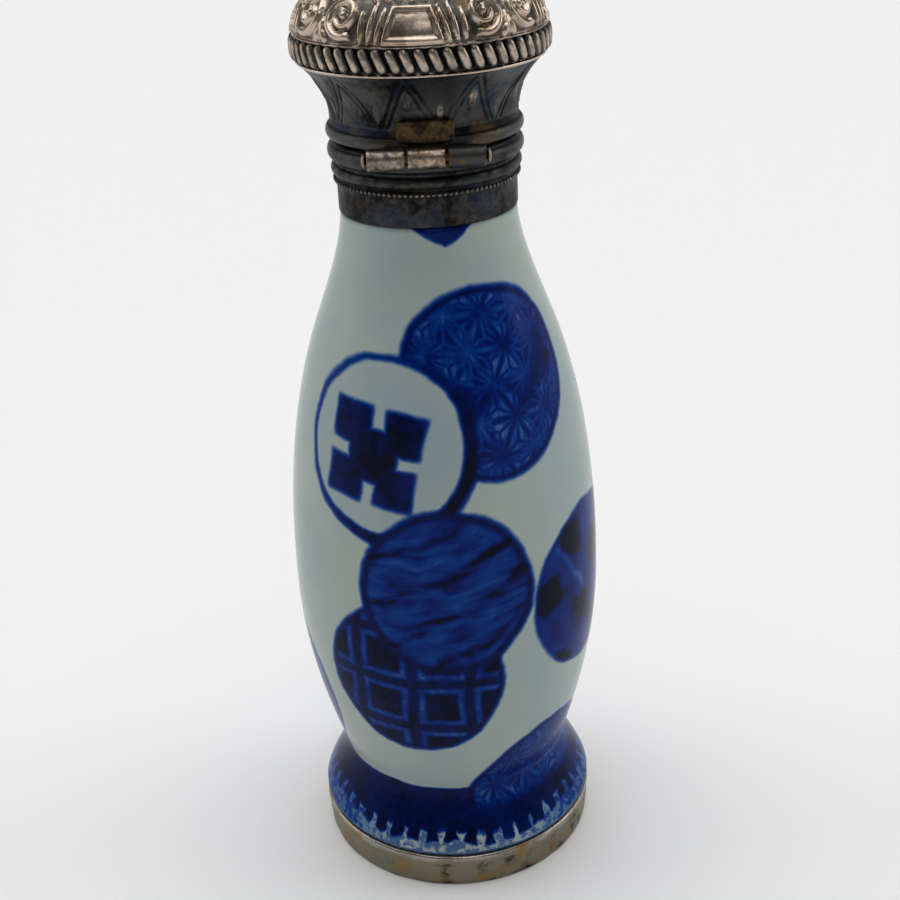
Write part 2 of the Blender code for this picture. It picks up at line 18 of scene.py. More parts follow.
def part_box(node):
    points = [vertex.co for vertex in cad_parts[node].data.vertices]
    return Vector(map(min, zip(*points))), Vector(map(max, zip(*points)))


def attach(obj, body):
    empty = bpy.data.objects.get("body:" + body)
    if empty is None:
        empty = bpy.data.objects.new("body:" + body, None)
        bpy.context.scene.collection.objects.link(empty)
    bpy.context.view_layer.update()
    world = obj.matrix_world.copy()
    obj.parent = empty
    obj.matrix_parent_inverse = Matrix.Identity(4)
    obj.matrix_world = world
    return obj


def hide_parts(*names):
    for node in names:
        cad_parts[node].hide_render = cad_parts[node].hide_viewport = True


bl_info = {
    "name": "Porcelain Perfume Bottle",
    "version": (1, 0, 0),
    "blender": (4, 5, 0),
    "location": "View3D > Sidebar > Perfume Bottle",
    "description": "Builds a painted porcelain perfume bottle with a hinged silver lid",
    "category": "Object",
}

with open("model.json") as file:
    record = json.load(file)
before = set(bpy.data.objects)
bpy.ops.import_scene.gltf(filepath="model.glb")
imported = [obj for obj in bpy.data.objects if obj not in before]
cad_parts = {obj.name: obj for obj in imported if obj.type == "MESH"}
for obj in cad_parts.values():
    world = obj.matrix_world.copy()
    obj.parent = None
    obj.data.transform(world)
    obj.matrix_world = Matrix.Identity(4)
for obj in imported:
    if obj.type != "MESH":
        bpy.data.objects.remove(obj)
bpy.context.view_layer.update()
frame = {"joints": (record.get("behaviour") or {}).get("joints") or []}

MM = 0.001

# Places that the frame gives
FOOT_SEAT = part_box("porcelain_bottle")[0][2]
MOUTH_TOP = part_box("porcelain_bottle")[1][2]
BELLY_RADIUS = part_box("porcelain_bottle")[1][0]
FOOT_BAND_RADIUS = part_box("foot_mount")[1][0]
FOOT_BAND_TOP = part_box("foot_mount")[1][2]
COLLAR_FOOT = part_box("neck_mount")[0][2]
DOME_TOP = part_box("lid")[1][2]
PIN_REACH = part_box("hinge_pin")[1][0]
HINGE_Y, HINGE_Z = frame["joints"][0]["pos_m"][1:]
HINGE_RADIUS = HINGE_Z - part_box("lid")[0][2]

# The gap between pieces that touch in the real bottle
SEAT_GAP = 0.3 * MM
COLLAR_TOP = HINGE_Z - SEAT_GAP / 2
LID_FOOT = HINGE_Z + SEAT_GAP / 2
FOOT_EDGE = FOOT_BAND_TOP + SEAT_GAP
NECK_TOP = COLLAR_FOOT - SEAT_GAP
TOUCH = 0.05 * MM

# The camera's place, and its roll, pitch and yaw in degrees
CAMERA_PLACE = (0.0, -0.114426, 0.094809)
CAMERA_TURN = (3.24, -25.73, -1.77)

# Heights of the porcelain's stations
WAIST = FOOT_EDGE + 5.9 * MM
BELLY = WAIST + 18.4 * MM
SHOULDER = BELLY + 22.0 * MM

# Heights and radii of the lid's zones
LID_BEAD_HEIGHT = 1.1 * MM
LID_WAIST = LID_FOOT + LID_BEAD_HEIGHT + 0.5 * MM
LIP_FOOT = LID_WAIST + 4.4 * MM
GADROON_FOOT = LIP_FOOT + 0.3 * MM
DOME_FOOT = GADROON_FOOT + 2.0 * MM
DOME_HEIGHT = DOME_TOP - DOME_FOOT
DOME_RADIUS = 10.0 * MM
LID_WAIST_RADIUS = 7.72 * MM
LIP_RADIUS = 9.9 * MM

# Sizes that the mounts share
METAL_WALL = 0.6 * MM
FOOT_BAND_LEAN = 0.2 * MM
COLLAR_RADIUS = 7.5 * MM
KNUCKLE_PITCH = 3.1 * MM
KNUCKLE_HALF = 1.45 * MM
KNUCKLE_BORE = 0.52 * MM


def kind_of_value(property_type, **settings):
    """A short way to write one kind of value: its name, its description and its default."""

    def value(name, description, default):
        return property_type(name=name, description=description, default=default, **settings)

    return value


length = kind_of_value(FloatProperty, min=0.0, unit="LENGTH", precision=5)
angle_of = kind_of_value(FloatProperty, subtype="ANGLE")
number = kind_of_value(FloatProperty)
share = kind_of_value(FloatProperty, min=0.0, max=1.0, subtype="FACTOR")
count = kind_of_value(IntProperty, min=3)
colour = kind_of_value(FloatVectorProperty, min=0.0, max=1.0, size=3, subtype="COLOR")


def srgb(red, green, blue):
    """The linear colour of three screen values from 0 to 255."""
    levels = (red, green, blue)
    return tuple(
        ((level / 255 + 0.055) / 1.055) ** 2.4 if level > 10 else level / 255 / 12.92 for level in levels
    )


class PorcelainValues(bpy.types.PropertyGroup):
    """Sizes and colours of the porcelain."""

    foot_radius: length("Foot radius", "Radius of the spreading foot's edge", 13.15 * MM)
    waist_radius: length("Waist radius", "Radius where the foot meets the body", 10.7 * MM)
    belly_radius: length("Belly radius", "Largest radius of the body", BELLY_RADIUS)
    shoulder_radius: length("Shoulder radius", "Radius of the body half way up its neck", 11.25 * MM)
    neck_radius: length("Neck radius", "Radius just under the collar", 7.4 * MM)
    spigot_radius: length("Spigot radius", "Radius of the mouth inside the collar", 6.6 * MM)
    bore_radius: length("Bore radius", "Radius of the opening of the mouth", 4.8 * MM)
    wall: length("Wall", "Thickness of the body's wall", 1.8 * MM)
    columns: count("Columns", "How many columns of faces go round", 224)
    glaze: colour("Glaze", "Colour of the bare glazed porcelain", srgb(173, 184, 178))
    cool_glaze: colour("Cool glaze", "Colour of the glaze where it lies thicker", srgb(165, 180, 180))
    thin_wash: colour("Thin wash", "Cobalt where the brush was nearly dry", srgb(100, 128, 160))
    wash: colour("Wash", "Cobalt of one even coat", srgb(8, 66, 142))
    cobalt: colour("Cobalt", "Cobalt of two coats", srgb(0, 34, 112))
    deep_cobalt: colour("Deep cobalt", "Cobalt where it pooled and burnt", srgb(0, 9, 40))
    biscuit: colour("Biscuit", "Bare clay on the foot ring and the lip", srgb(206, 196, 178))
    roughness: share("Roughness", "Roughness of the glaze", 0.20)


class SilverValues(bpy.types.PropertyGroup):
    """Sizes and colours of the collar, the lid and the hinge."""

    gadroon_count: count("Gadroons", "How many gadroons go round the rim of the lid", 60)
    gadroon_width: length("Gadroon width", "Width of one gadroon", 0.92 * MM)
    gadroon_depth: length("Gadroon depth", "Depth of one gadroon, half of it sunk in the rim", 0.84 * MM)
    gadroon_length: length("Gadroon length", "Length of one gadroon", 1.98 * MM)
    gadroon_slant: angle_of("Gadroon slant", "How far a gadroon leans", math.radians(-24))
    bead_count: count("Beads", "How many beads go round the collar", 108)
    bead_size: length("Bead size", "Diameter of one bead", 0.36 * MM)
    lid_columns: count("Lid columns", "How many columns of faces go round the lid", 500)
    collar_columns: count("Collar columns", "How many columns of faces go round the collar", 240)
    polished: colour("Polished", "Silver where it is rubbed bright", srgb(196, 180, 164))
    dull: colour("Dull", "Silver under an even tarnish", srgb(78, 79, 78))
    tarnish: colour("Tarnish", "Silver in the hollows, nearly black", srgb(27, 26, 27))
    bloom: colour("Bloom", "Blue bloom on the dark tarnish", srgb(36, 48, 64))
    brown: colour("Brown", "Brown and gold stains", srgb(102, 82, 54))


class FootValues(bpy.types.PropertyGroup):
    """Sizes and colours of the foot band and the hinge pin."""

    columns: count("Columns", "How many columns of faces go round", 240)
    metal: colour("Metal", "Metal of the foot band under its tarnish", srgb(140, 136, 118))
    # Also the colour of the painted highlight along the band's upper edge
    worn: colour("Worn", "Metal rubbed bright on the band's edge", srgb(170, 164, 156))
    gold: colour("Gold", "Patches where the yellow metal shows", srgb(154, 124, 72))
    # Also the colour of the painted shade along the band's foot
    dirt: colour("Dirt", "Dark spots and lines of dirt", srgb(40, 34, 28))


class StageValues(bpy.types.PropertyGroup):
    """The camera, the floor and the light."""

    floor: colour("Floor", "Colour of the floor", (0.90, 0.90, 0.90))
    lens: number("Lens", "Focal length in millimetres on a 36 mm sensor", 55.83)
    daylight: share("Daylight", "Strength of the even light from all round", 0.16)
    horizon: share("Horizon", "Strength of the glow near the horizon, behind the bottle", 0.75)
    skylight: number("Skylight", "Strength of the wide soft light above", 2.1)
    windows: number("Windows", "Strength of the lights at the sides", 0.58)
    gamma: number("Gamma", "Contrast of the picture, where less is more", 0.88)


def sum_node(operation, swapped=False):
    """A method for Wire that adds one Math node. Swapped is for a wire on the right of its sign."""

    def method(wire, *others):
        values = (*others, wire) if swapped else (wire, *others)
        return wire.sketch.math(operation, *values)

    return method


class Wire:
    """A value that runs through a node tree. Sums on it become Math nodes."""

    def __init__(self, sketch, socket):
        self.sketch = sketch
        self.socket = socket

    __add__ = sum_node("ADD")
    __radd__ = sum_node("ADD", swapped=True)
    __sub__ = sum_node("SUBTRACT")
    __rsub__ = sum_node("SUBTRACT", swapped=True)
    __mul__ = sum_node("MULTIPLY")
    __rmul__ = sum_node("MULTIPLY", swapped=True)
    __truediv__ = sum_node("DIVIDE")
    __abs__ = sum_node("ABSOLUTE")
    least = sum_node("MINIMUM")
    most = sum_node("MAXIMUM")
    fraction = sum_node("FRACT")
    root = sum_node("SQRT")
    above = sum_node("GREATER_THAN")

    def __neg__(self):
        return self * -1.0

    def clipped(self):
        return self.sketch.math("ADD", self, 0.0, clamp=True)

    def smooth(self, start, end):
        """0 up to start and 1 from end on, or the other way round where start is the larger."""
        sockets = {"Value": self, "From Min": start, "From Max": end}
        node = self.sketch.add("ShaderNodeMapRange", sockets, interpolation_type="SMOOTHSTEP")
        return self.sketch.wire(node)


class Sketch:
    """Draws one node tree, in a material, a shader group or a geometry group."""

    def __init__(self, tree):
        self.tree = tree
        self.enter = None
        self.leave = None

    def feed(self, socket, value):
        """Links a wire or a socket to this socket, or sets its plain value."""
        if isinstance(value, Wire):
            value = value.socket
        if isinstance(value, bpy.types.NodeSocket):
            self.tree.links.new(value, socket)
        elif isinstance(value, tuple) and len(value) == 3 and socket.type == "RGBA":
            socket.default_value = (*value, 1.0)
        else:
            socket.default_value = value

    def add(self, kind, inputs=None, **settings):
        """A new node. Settings are its properties, and inputs go by a socket's name or place."""
        node = self.tree.nodes.new(kind)
        for name, value in settings.items():
            setattr(node, name, value)
        for key, value in (inputs or {}).items():
            self.feed(node.inputs[key], value)
        return node

    def wire(self, node, output=0):
        return Wire(self, node.outputs[output])

    def math(self, operation, *values, clamp=False):
        node = self.add("ShaderNodeMath", dict(enumerate(values)), operation=operation, use_clamp=clamp)
        return self.wire(node)

    def between(self, factor, low, high):
        return self.wire(self.add("ShaderNodeMix", {0: factor, 2: low, 3: high}, data_type="FLOAT"))

    def shade(self, factor, first, second):
        return self.wire(self.add("ShaderNodeMix", {0: factor, 6: first, 7: second}, data_type="RGBA"), 2)

    def vector(self, x, y, z):
        return self.wire(self.add("ShaderNodeCombineXYZ", {0: x, 1: y, 2: z}))

    def parts(self, vector):
        node = self.add("ShaderNodeSeparateXYZ", {0: vector})
        return [self.wire(node, place) for place in range(3)]

    def place(self):
        """The point on the piece, in millimetres."""
        sockets = {0: self.add("ShaderNodeTexCoord").outputs["Object"], "Scale": 1 / MM}
        return self.wire(self.add("ShaderNodeVectorMath", sockets, operation="SCALE"))

    def attribute(self, name):
        return self.wire(self.add("ShaderNodeAttribute", attribute_name=name), "Fac")

    def store(self, source, name, value):
        """Keeps a value on every point of what the source node makes."""
        inputs = {"Geometry": source.outputs[0], "Name": name, "Value": value}
        return self.add("GeometryNodeStoreNamedAttribute", inputs, data_type="FLOAT", domain="POINT")

    def noise(self, place, scale, seed, detail=2.0, roughness=0.5):
        """Noise from 0 to 1. A scale of 1 gives spots about a millimetre across."""
        sockets = {"Vector": place, "Scale": scale, "W": seed, "Detail": detail, "Roughness": roughness}
        return self.wire(self.add("ShaderNodeTexNoise", sockets, noise_dimensions="4D"), "Fac")

    def use(self, group, inputs):
        """A group node, with its outputs as wires by name."""
        node = self.add("ShaderNodeGroup", inputs, node_tree=group)
        return {output.name: Wire(self, output) for output in node.outputs}

    def __getitem__(self, name):
        """What comes in to the group under this name."""
        return Wire(self, self.enter.outputs[name])

    def give(self, name, value):
        self.feed(self.leave.inputs[name], value)


SOCKETS = {
    "value": "NodeSocketFloat",
    "count": "NodeSocketInt",
    "colour": "NodeSocketColor",
    "form": "NodeSocketGeometry",
    "material": "NodeSocketMaterial",
}


def new_group(name, inputs, outputs, tree_type="ShaderNodeTree"):
    """A sketch of a new group. Inputs are {name: default or kind} and outputs are {name: kind}."""
    tree = bpy.data.node_groups.new(name, tree_type)
    for label, default in inputs.items():
        kind = default
        if not isinstance(default, str):
            kind = "colour" if isinstance(default, tuple) else "value"
        socket = tree.interface.new_socket(label, in_out="INPUT", socket_type=SOCKETS[kind])
        if kind != default:
            socket.default_value = (*default, 1.0) if kind == "colour" else default
    for label, kind in outputs.items():
        tree.interface.new_socket(label, in_out="OUTPUT", socket_type=SOCKETS[kind])
    sketch = Sketch(tree)
    sketch.enter = tree.nodes.new("NodeGroupInput")
    sketch.leave = tree.nodes.new("NodeGroupOutput")
    return sketch


def shared(make):
    """Makes a group once, and gives the same one to every material that asks."""
    made = {}

    def group():
        if make.__name__ not in made:
            made[make.__name__] = make()
        return made[make.__name__]

    return group


@shared
def wall_place_group():
    """Where a point is on a turned wall: its angle round the axis, its height and its radius in millimetres.

    A slow and a quick wobble, in millimetres, make every painted line look drawn by hand.
    """
    sketch = new_group(
        "Wall Place",
        {"Slow Wobble": 0.0, "Quick Wobble": 0.0},
        {"Angle": "value", "Height": "value", "Radius": "value"},
    )
    place = sketch.place()
    x, y, z = sketch.parts(place)
    radius = (x * x + y * y).root()

    def slow(seed):
        return (sketch.noise(place, 0.22, seed) - 0.5) * sketch["Slow Wobble"]

    def quick(seed):
        return (sketch.noise(place, 1.6, seed) - 0.5) * sketch["Quick Wobble"]

    angle = sketch.math("ARCTAN2", x, -y)
    sketch.give("Angle", angle + (slow(1.0) + quick(3.0)) / radius)
    sketch.give("Height", z + slow(7.0) + quick(9.0))
    sketch.give("Radius", radius)
    return sketch.tree


ROUNDEL_PLACE = {
    "Angle": 0.0,
    "Height": 0.0,
    "Radius": 10.0,
    "Middle Angle": 0.0,
    "Middle Height": 0.0,
    "Turn": 0.0,
}


@shared
def roundel_place_group():
    """Distances over the wall from the middle of one roundel, turned with it. Angles are in degrees."""
    outputs = {"Across": "value", "Up": "value", "Distance": "value"}
    sketch = new_group("Roundel Place", ROUNDEL_PLACE, outputs)
    middle = sketch.math("RADIANS", sketch["Middle Angle"])
    turn = sketch.math("RADIANS", sketch["Turn"])
    apart = sketch.math("WRAP", sketch["Angle"] - middle, math.pi, -math.pi)
    across = apart * sketch["Radius"]
    up = sketch["Height"] - sketch["Middle Height"]
    cosine = sketch.math("COSINE", turn)
    sine = sketch.math("SINE", turn)
    sketch.give("Across", across * cosine + up * sine)
    sketch.give("Up", up * cosine - across * sine)
    sketch.give("Distance", (across * across + up * up).root())
    return sketch.tree


def begin_roundel(name):
    """A new roundel group, with its place and the distances over the wall from its middle."""
    sketch = new_group(name, {**ROUNDEL_PLACE, "Size": 7.8}, {"Paint": "value", "Cover": "value"})
    near = sketch.use(roundel_place_group(), {label: sketch[label] for label in ROUNDEL_PLACE})
    return sketch, sketch.place(), near["Across"], near["Up"], near["Distance"]


def end_roundel(sketch, place, distance, paint, rim_paint=0.86, rim_width=0.55):
    """Adds the roundel's darker rim and its soft outer edge, and hands out its paint and cover."""
    size = sketch["Size"]
    inside = size - distance
    rim = inside.smooth(rim_width * 1.3, rim_width * 0.5)
    rimmed = sketch.between(rim, paint, paint.most(rim_paint))
    bleed = (sketch.noise(place, 1.1, 21.0) - 0.5) * 0.14
    sketch.give("Paint", rimmed)
    sketch.give("Cover", (inside + bleed).smooth(-0.42, 0.34))
    return sketch.tree


@shared
def hemp_leaf_group():
    """Six-pointed stars of light lines on a dark ground, each triangle split from its middle."""
    sketch, place, across, up, distance = begin_roundel("Hemp Leaf Roundel")
    cell = 2.9
    folds = []
    for degrees in (90, 210, 330):
        turn = math.radians(degrees)
        folds.append(((across * math.cos(turn) + up * math.sin(turn)) / cell).fraction())
    flipped = (folds[0] + folds[1] + folds[2]).above(1.5)
    corners = [fold + flipped * (1.0 - fold * 2.0) for fold in folds]
    least = corners[0].least(corners[1]).least(corners[2])
    most = corners[0].most(corners[1]).most(corners[2])
    middle = 1.0 - least - most
    edge = (least * cell).smooth(0.38, 0.06)
    spoke = ((middle - least) * (cell * 0.5)).smooth(0.19, 0.03) * most.smooth(0.97, 0.82)
    patchy = sketch.noise(place, 0.34, 4.0, 3.0)
    line = edge.most(spoke * 0.8)
    dry = sketch.noise(place, 0.42, 12.0, 3.0).smooth(0.46, 0.60)
    streaks = sketch.noise(sketch.vector(across * 2.4, up * 0.7, 0.0), 1.0, 13.0, 3.0) - 0.5
    light = line * (1.0 - dry) * patchy.smooth(0.30, 0.58)
    paint = 0.85 - (patchy - 0.5) * 0.30 - light * 0.32 - dry * (1.0 - line) * 0.38 + streaks * 0.30
    return end_roundel(sketch, place, distance, paint, 0.92)


@shared
def squared_group():
    """Dark squares, each in a lighter outline, on a dark ground."""
    sketch, place, across, up, distance = begin_roundel("Squared Roundel")
    pitch = 5.2
    beside = abs((across / pitch).fraction() - 0.5) * pitch
    above = abs((up / pitch).fraction() - 0.5) * pitch
    out = beside.most(above)
    outline = abs(out - 1.84).smooth(0.48, 0.04)
    centre = out.smooth(1.62, 1.30)
    pooled = sketch.noise(place, 0.40, 5.0)
    uneven = sketch.noise(place, 0.7, 15.0).smooth(0.30, 0.60)
    streaks = sketch.noise(sketch.vector(across * 2.4, up * 0.8, 0.0), 1.0, 17.0, 3.0) - 0.5
    burnt = sketch.noise(place, 0.36, 19.0).smooth(0.60, 0.76) * 0.14
    ground = 0.94 + (pooled - 0.5) * 0.24 + centre * 0.05 + burnt + streaks * 0.20
    paint = ground.least(1.0) - outline * (0.18 + uneven * 0.26)
    return end_roundel(sketch, place, distance, paint, 0.92)


@shared
def waves_group():
    """A wash of long level brush strokes, crossed by dark waves that climb to the right."""
    sketch, place, across, up, distance = begin_roundel("Waves Roundel")
    bend = (sketch.noise(place, 0.18, 6.0) - 0.5) * 5.0
    level = sketch.vector(across * 0.34, (up - across * 0.20 + bend * 0.5) * 1.2, 0.0)
    strokes = sketch.noise(level, 1.0, 16.0, 2.0, 0.5)
    climb = up - across * 0.50 + bend
    wave = abs((climb / 4.0).fraction() - 0.5) * 2.0
    dark = wave.smooth(0.62, 0.0)
    torn = sketch.noise(level, 0.7, 26.0, 3.0).smooth(0.28, 0.60)
    washed = sketch.noise(place, 0.30, 36.0).smooth(0.35, 0.65) * 0.10
    paint = (0.70 - washed + (strokes - 0.5) * 1.1).most(0.50) + dark * (0.4 + torn * 0.6) * 0.30
    return end_roundel(sketch, place, distance, paint, 0.93, 0.8)


@shared
def chequer_group():
    """A soft chequer of burnt dark squares in a mid-blue wash, crossed by one light stroke."""
    sketch, place, across, up, distance = begin_roundel("Chequer Roundel")
    pitch = 4.0
    beside = sketch.math("SINE", across * (math.pi / pitch))
    above = sketch.math("SINE", up * (math.pi / pitch))
    ragged = (sketch.noise(place, 0.45, 8.0, 2.0) - 0.5) * 1.8
    dark = (beside * above + ragged).smooth(-0.20, 0.75)
    stroke = abs(across + up * 0.5 + 1.2 + ragged).smooth(0.60, 0.10) * (1.0 - dark)
    pooled = sketch.noise(place, 0.6, 18.0, 3.0)
    paint = 0.76 + (pooled - 0.5) * 0.50 + dark * 0.36 - stroke * 0.26
    return end_roundel(sketch, place, distance, paint, 0.80)


@shared
def ringed_group():
    """A dark notched square of five smaller ones, in a brushed ring that thickens on one side."""
    sketch, place, across, up, distance = begin_roundel("Ringed Roundel")
    beside = abs(across + 0.95)
    above = abs(up + 0.5)
    centre = 2.3 - sketch.math("SMOOTH_MAX", beside, above, 0.6)
    corner = 1.74 - sketch.math("SMOOTH_MAX", abs(beside - 2.38), abs(above - 2.38), 0.6)
    pooled = sketch.noise(place, 0.5, 10.0, 3.0)
    burnt = distance.smooth(4.6, 1.4) * 0.08
    motif = centre.most(corner).smooth(-0.36, 0.32) * (0.84 + (pooled - 0.5) * 0.36 + burnt)
    size = sketch["Size"]
    heavy = ((across * 1.2 - up * 0.6) / size).smooth(-0.9, 1.2)
    ring_width = 0.40 + heavy * 0.80
    inside = size - distance
    ring = inside.smooth(ring_width + 0.30, ring_width - 0.26)
    thin = sketch.noise(place, 0.30, 20.0)
    paint = motif.most(ring * (0.70 + (thin - 0.5) * 0.30 + heavy * 0.22)) + 0.07
    return end_roundel(sketch, place, distance, paint, 0.0)


@shared
def foot_border_group():
    """The painted border of the foot: a dark band with square teeth over pale dabs, down to the edge.

    Towards the hinge side the ground is left nearly bare, partly the pale reserve and partly a painted
    highlight on the flange's front. Away from it, a wash lies under the dabs.
    """
    sketch = new_group(
        "Foot Border", {"Angle": 0.0, "Height": 0.0, "Teeth": 44.0}, {"Paint": "value", "Cover": "value"}
    )
    place = sketch.place()
    height = sketch["Height"]
    turns = sketch["Angle"] * sketch["Teeth"] / (2 * math.pi)
    ragged = (sketch.noise(place, 0.75, 30.0, 3.0) - 0.5) * 0.9
    across = abs(turns.fraction() - 0.5) * 2.0
    side = abs(sketch["Angle"]).smooth(0.35, 1.1)
    fall = height + (sketch.noise(place, 0.22, 33.0) - 0.5) * 1.6 - side * 0.7
    uneven = (sketch.noise(place, 0.50, 34.0) - 0.5) * 1.2
    band = (fall + ragged * 1.3 + uneven * 0.5).smooth(5.35, 5.85) * height.smooth(9.85, 9.45)
    tooth = (across + ragged * 1.2 + uneven).smooth(0.80, 0.50)
    tooth = tooth * (fall + ragged + uneven).smooth(4.4, 4.9) * height.smooth(8.6, 8.1)
    dabs = sketch.noise(place, 1.8, 32.0, 3.0).smooth(0.42, 0.60)
    # Nearly bare ground towards the hinge side: a painted highlight on the flange's front, over the pale
    # reserve and dabs
    ground = sketch.between(side, 0.02, 0.40) + dabs * sketch.between(side, 0.34, 0.24)
    ground = ground * height.smooth(9.6, 9.0)
    line = abs(height - 3.80).smooth(0.30, 0.08) * 0.36
    burnt = sketch.noise(place, 0.28, 31.0, 3.0)
    dark = 0.92 + (burnt - 0.5) * 0.34
    solid = band.most(tooth)
    sketch.give("Paint", ground.most(line).most(solid * dark))
    sketch.give("Cover", (height + ragged).smooth(8.3, 7.2))
    return sketch.tree


@shared
def pendant_group():
    """Small dark pendants that hang from under the collar, evenly round the neck."""
    sketch = new_group(
        "Neck Pendants",
        {"Angle": 0.0, "Height": 0.0, "First Angle": 8.0, "Count": 3.0, "Top": 63.0},
        {"Paint": "value"},
    )
    place = sketch.place()
    first = sketch.math("RADIANS", sketch["First Angle"])
    turns = (sketch["Angle"] - first) * sketch["Count"] / (2 * math.pi)
    apart = abs((turns + 0.5).fraction() - 0.5) * (2 * math.pi) / sketch["Count"] * 7.5
    hang = sketch["Top"] - sketch["Height"]
    reach = 1.9 - apart * 0.42 - apart * apart * 0.09
    paint = (reach - hang).smooth(-0.22, 0.34)
    pooled = sketch.noise(place, 0.5, 40.0)
    sketch.give("Paint", paint * (0.84 + (pooled - 0.5) * 0.3))
    return sketch.tree


@shared
def patina_group():
    """Old tarnish: bright where metal is raised and rubbed, dark in the hollows, with stains between.

    Relief is 0 in a hollow and 1 on the highest point. Rubbed is how much of the metal was kept bright.
    """
    colours = {name: (0.5, 0.5, 0.5) for name in ("Bright", "Dull", "Dark", "Bloom", "Stain")}
    sketch = new_group(
        "Patina",
        {"Relief": 0.5, "Rubbed": 0.5, "Staining": 0.3, "Grain": 1.0, "Seed": 0.0, **colours},
        {"Color": "colour", "Roughness": "value", "Height": "value"},
    )
    place = sketch.place()
    seed = sketch["Seed"]
    grain = sketch["Grain"]
    cloud = sketch.noise(place, grain * 0.35, seed + 1.0, 3.0)
    speck = sketch.noise(place, 3.0, seed + 2.0, 3.0, 0.6)
    grime = sketch.noise(place, grain * 1.2, seed + 3.0, 4.0, 0.6)
    raised = sketch["Relief"] + (grime - 0.5) * 0.60 + (cloud - 0.5) * 0.35 + (speck - 0.5) * 0.35
    rubbed = sketch["Rubbed"]
    lit = raised.smooth(1.00 - rubbed * 0.75, 1.35 - rubbed * 0.60)
    sunk = raised.smooth(0.66 - rubbed * 0.55, 0.30 - rubbed * 0.55)
    dark = sketch.shade(cloud.smooth(0.42, 0.62), sketch["Dark"], sketch["Bloom"])
    flat = sketch.shade(sunk, sketch["Dull"], dark)
    clean = sketch.shade(lit, flat, sketch["Bright"])
    stained = sketch.noise(place, grain * 0.55, seed + 5.0, 3.0) + (grime - 0.5) * 0.35
    stain = stained.smooth(0.50, 0.66) * sketch["Staining"]
    sketch.give("Color", sketch.shade(stain * (1.0 - lit * 0.4), clean, sketch["Stain"]))
    rough = 0.42 - lit * 0.18 + sunk * 0.10 + (speck - 0.5) * 0.30
    sketch.give("Roughness", rough.clipped())
    sketch.give("Height", speck * 0.45 + grime * 0.55)
    return sketch.tree


@shared
def scratches_group():
    """Fine scratches and a slow unevenness, as the height of a bump."""
    sketch = new_group("Handling Marks", {"Depth": 0.5, "Seed": 0.0}, {"Height": "value"})
    place = sketch.place()
    seed = sketch["Seed"]
    x, y, z = sketch.parts(place)
    level = sketch.noise(sketch.vector(x * 0.5, y * 0.5, z * 6.0), 1.6, seed + 11.0, 2.0)
    steep = sketch.noise(sketch.vector(x * 4.0 + z * 2.5, y * 4.0, z * 0.7), 1.1, seed + 12.0, 2.0)
    marks = level.smooth(0.58, 0.74) * 0.5 + steep.smooth(0.62, 0.76) * 0.5
    dents = sketch.noise(place, 0.45, seed + 13.0)
    sketch.give("Height", (dents - marks * 0.3) * sketch["Depth"])
    return sketch.tree


def new_material(name):
    """A material with its sketch and its Principled shader."""
    material = bpy.data.materials.new(name)
    material.use_nodes = True
    return material, Sketch(material.node_tree), material.node_tree.nodes["Principled BSDF"]


# A roundel that spreads on to the foot, under the foot's border: pattern, angle, height, size and turn
FOOT_ROUNDEL = (hemp_leaf_group, 48.0, 7.6, 8.2, 10.0)

# The other roundels, from the first one painted to the last.
# Those that face the hinge side are as the bottle shows them. The far side has others of the same kinds.
ROUNDELS = (
    (hemp_leaf_group, 23.6, 50.1, 7.8, 0.0),
    (ringed_group, -22.4, 45.0, 7.95, -9.0),
    (squared_group, -15.2, 23.6, 8.2, -2.0),
    (chequer_group, 64.5, 29.2, 8.0, 10.0),
    (waves_group, -0.5, 32.4, 7.8, 0.0),
    (hemp_leaf_group, -94.0, 18.0, 8.0, 20.0),
    (squared_group, -116.0, 35.6, 7.8, 12.0),
    (ringed_group, 118.0, 43.5, 7.6, 30.0),
    (waves_group, 158.0, 30.5, 7.8, 20.0),
    (chequer_group, 196.0, 48.5, 7.6, 0.0),
    (hemp_leaf_group, 202.0, 20.5, 7.7, 30.0),
    (squared_group, 118.0, 14.5, 7.8, -8.0),
)


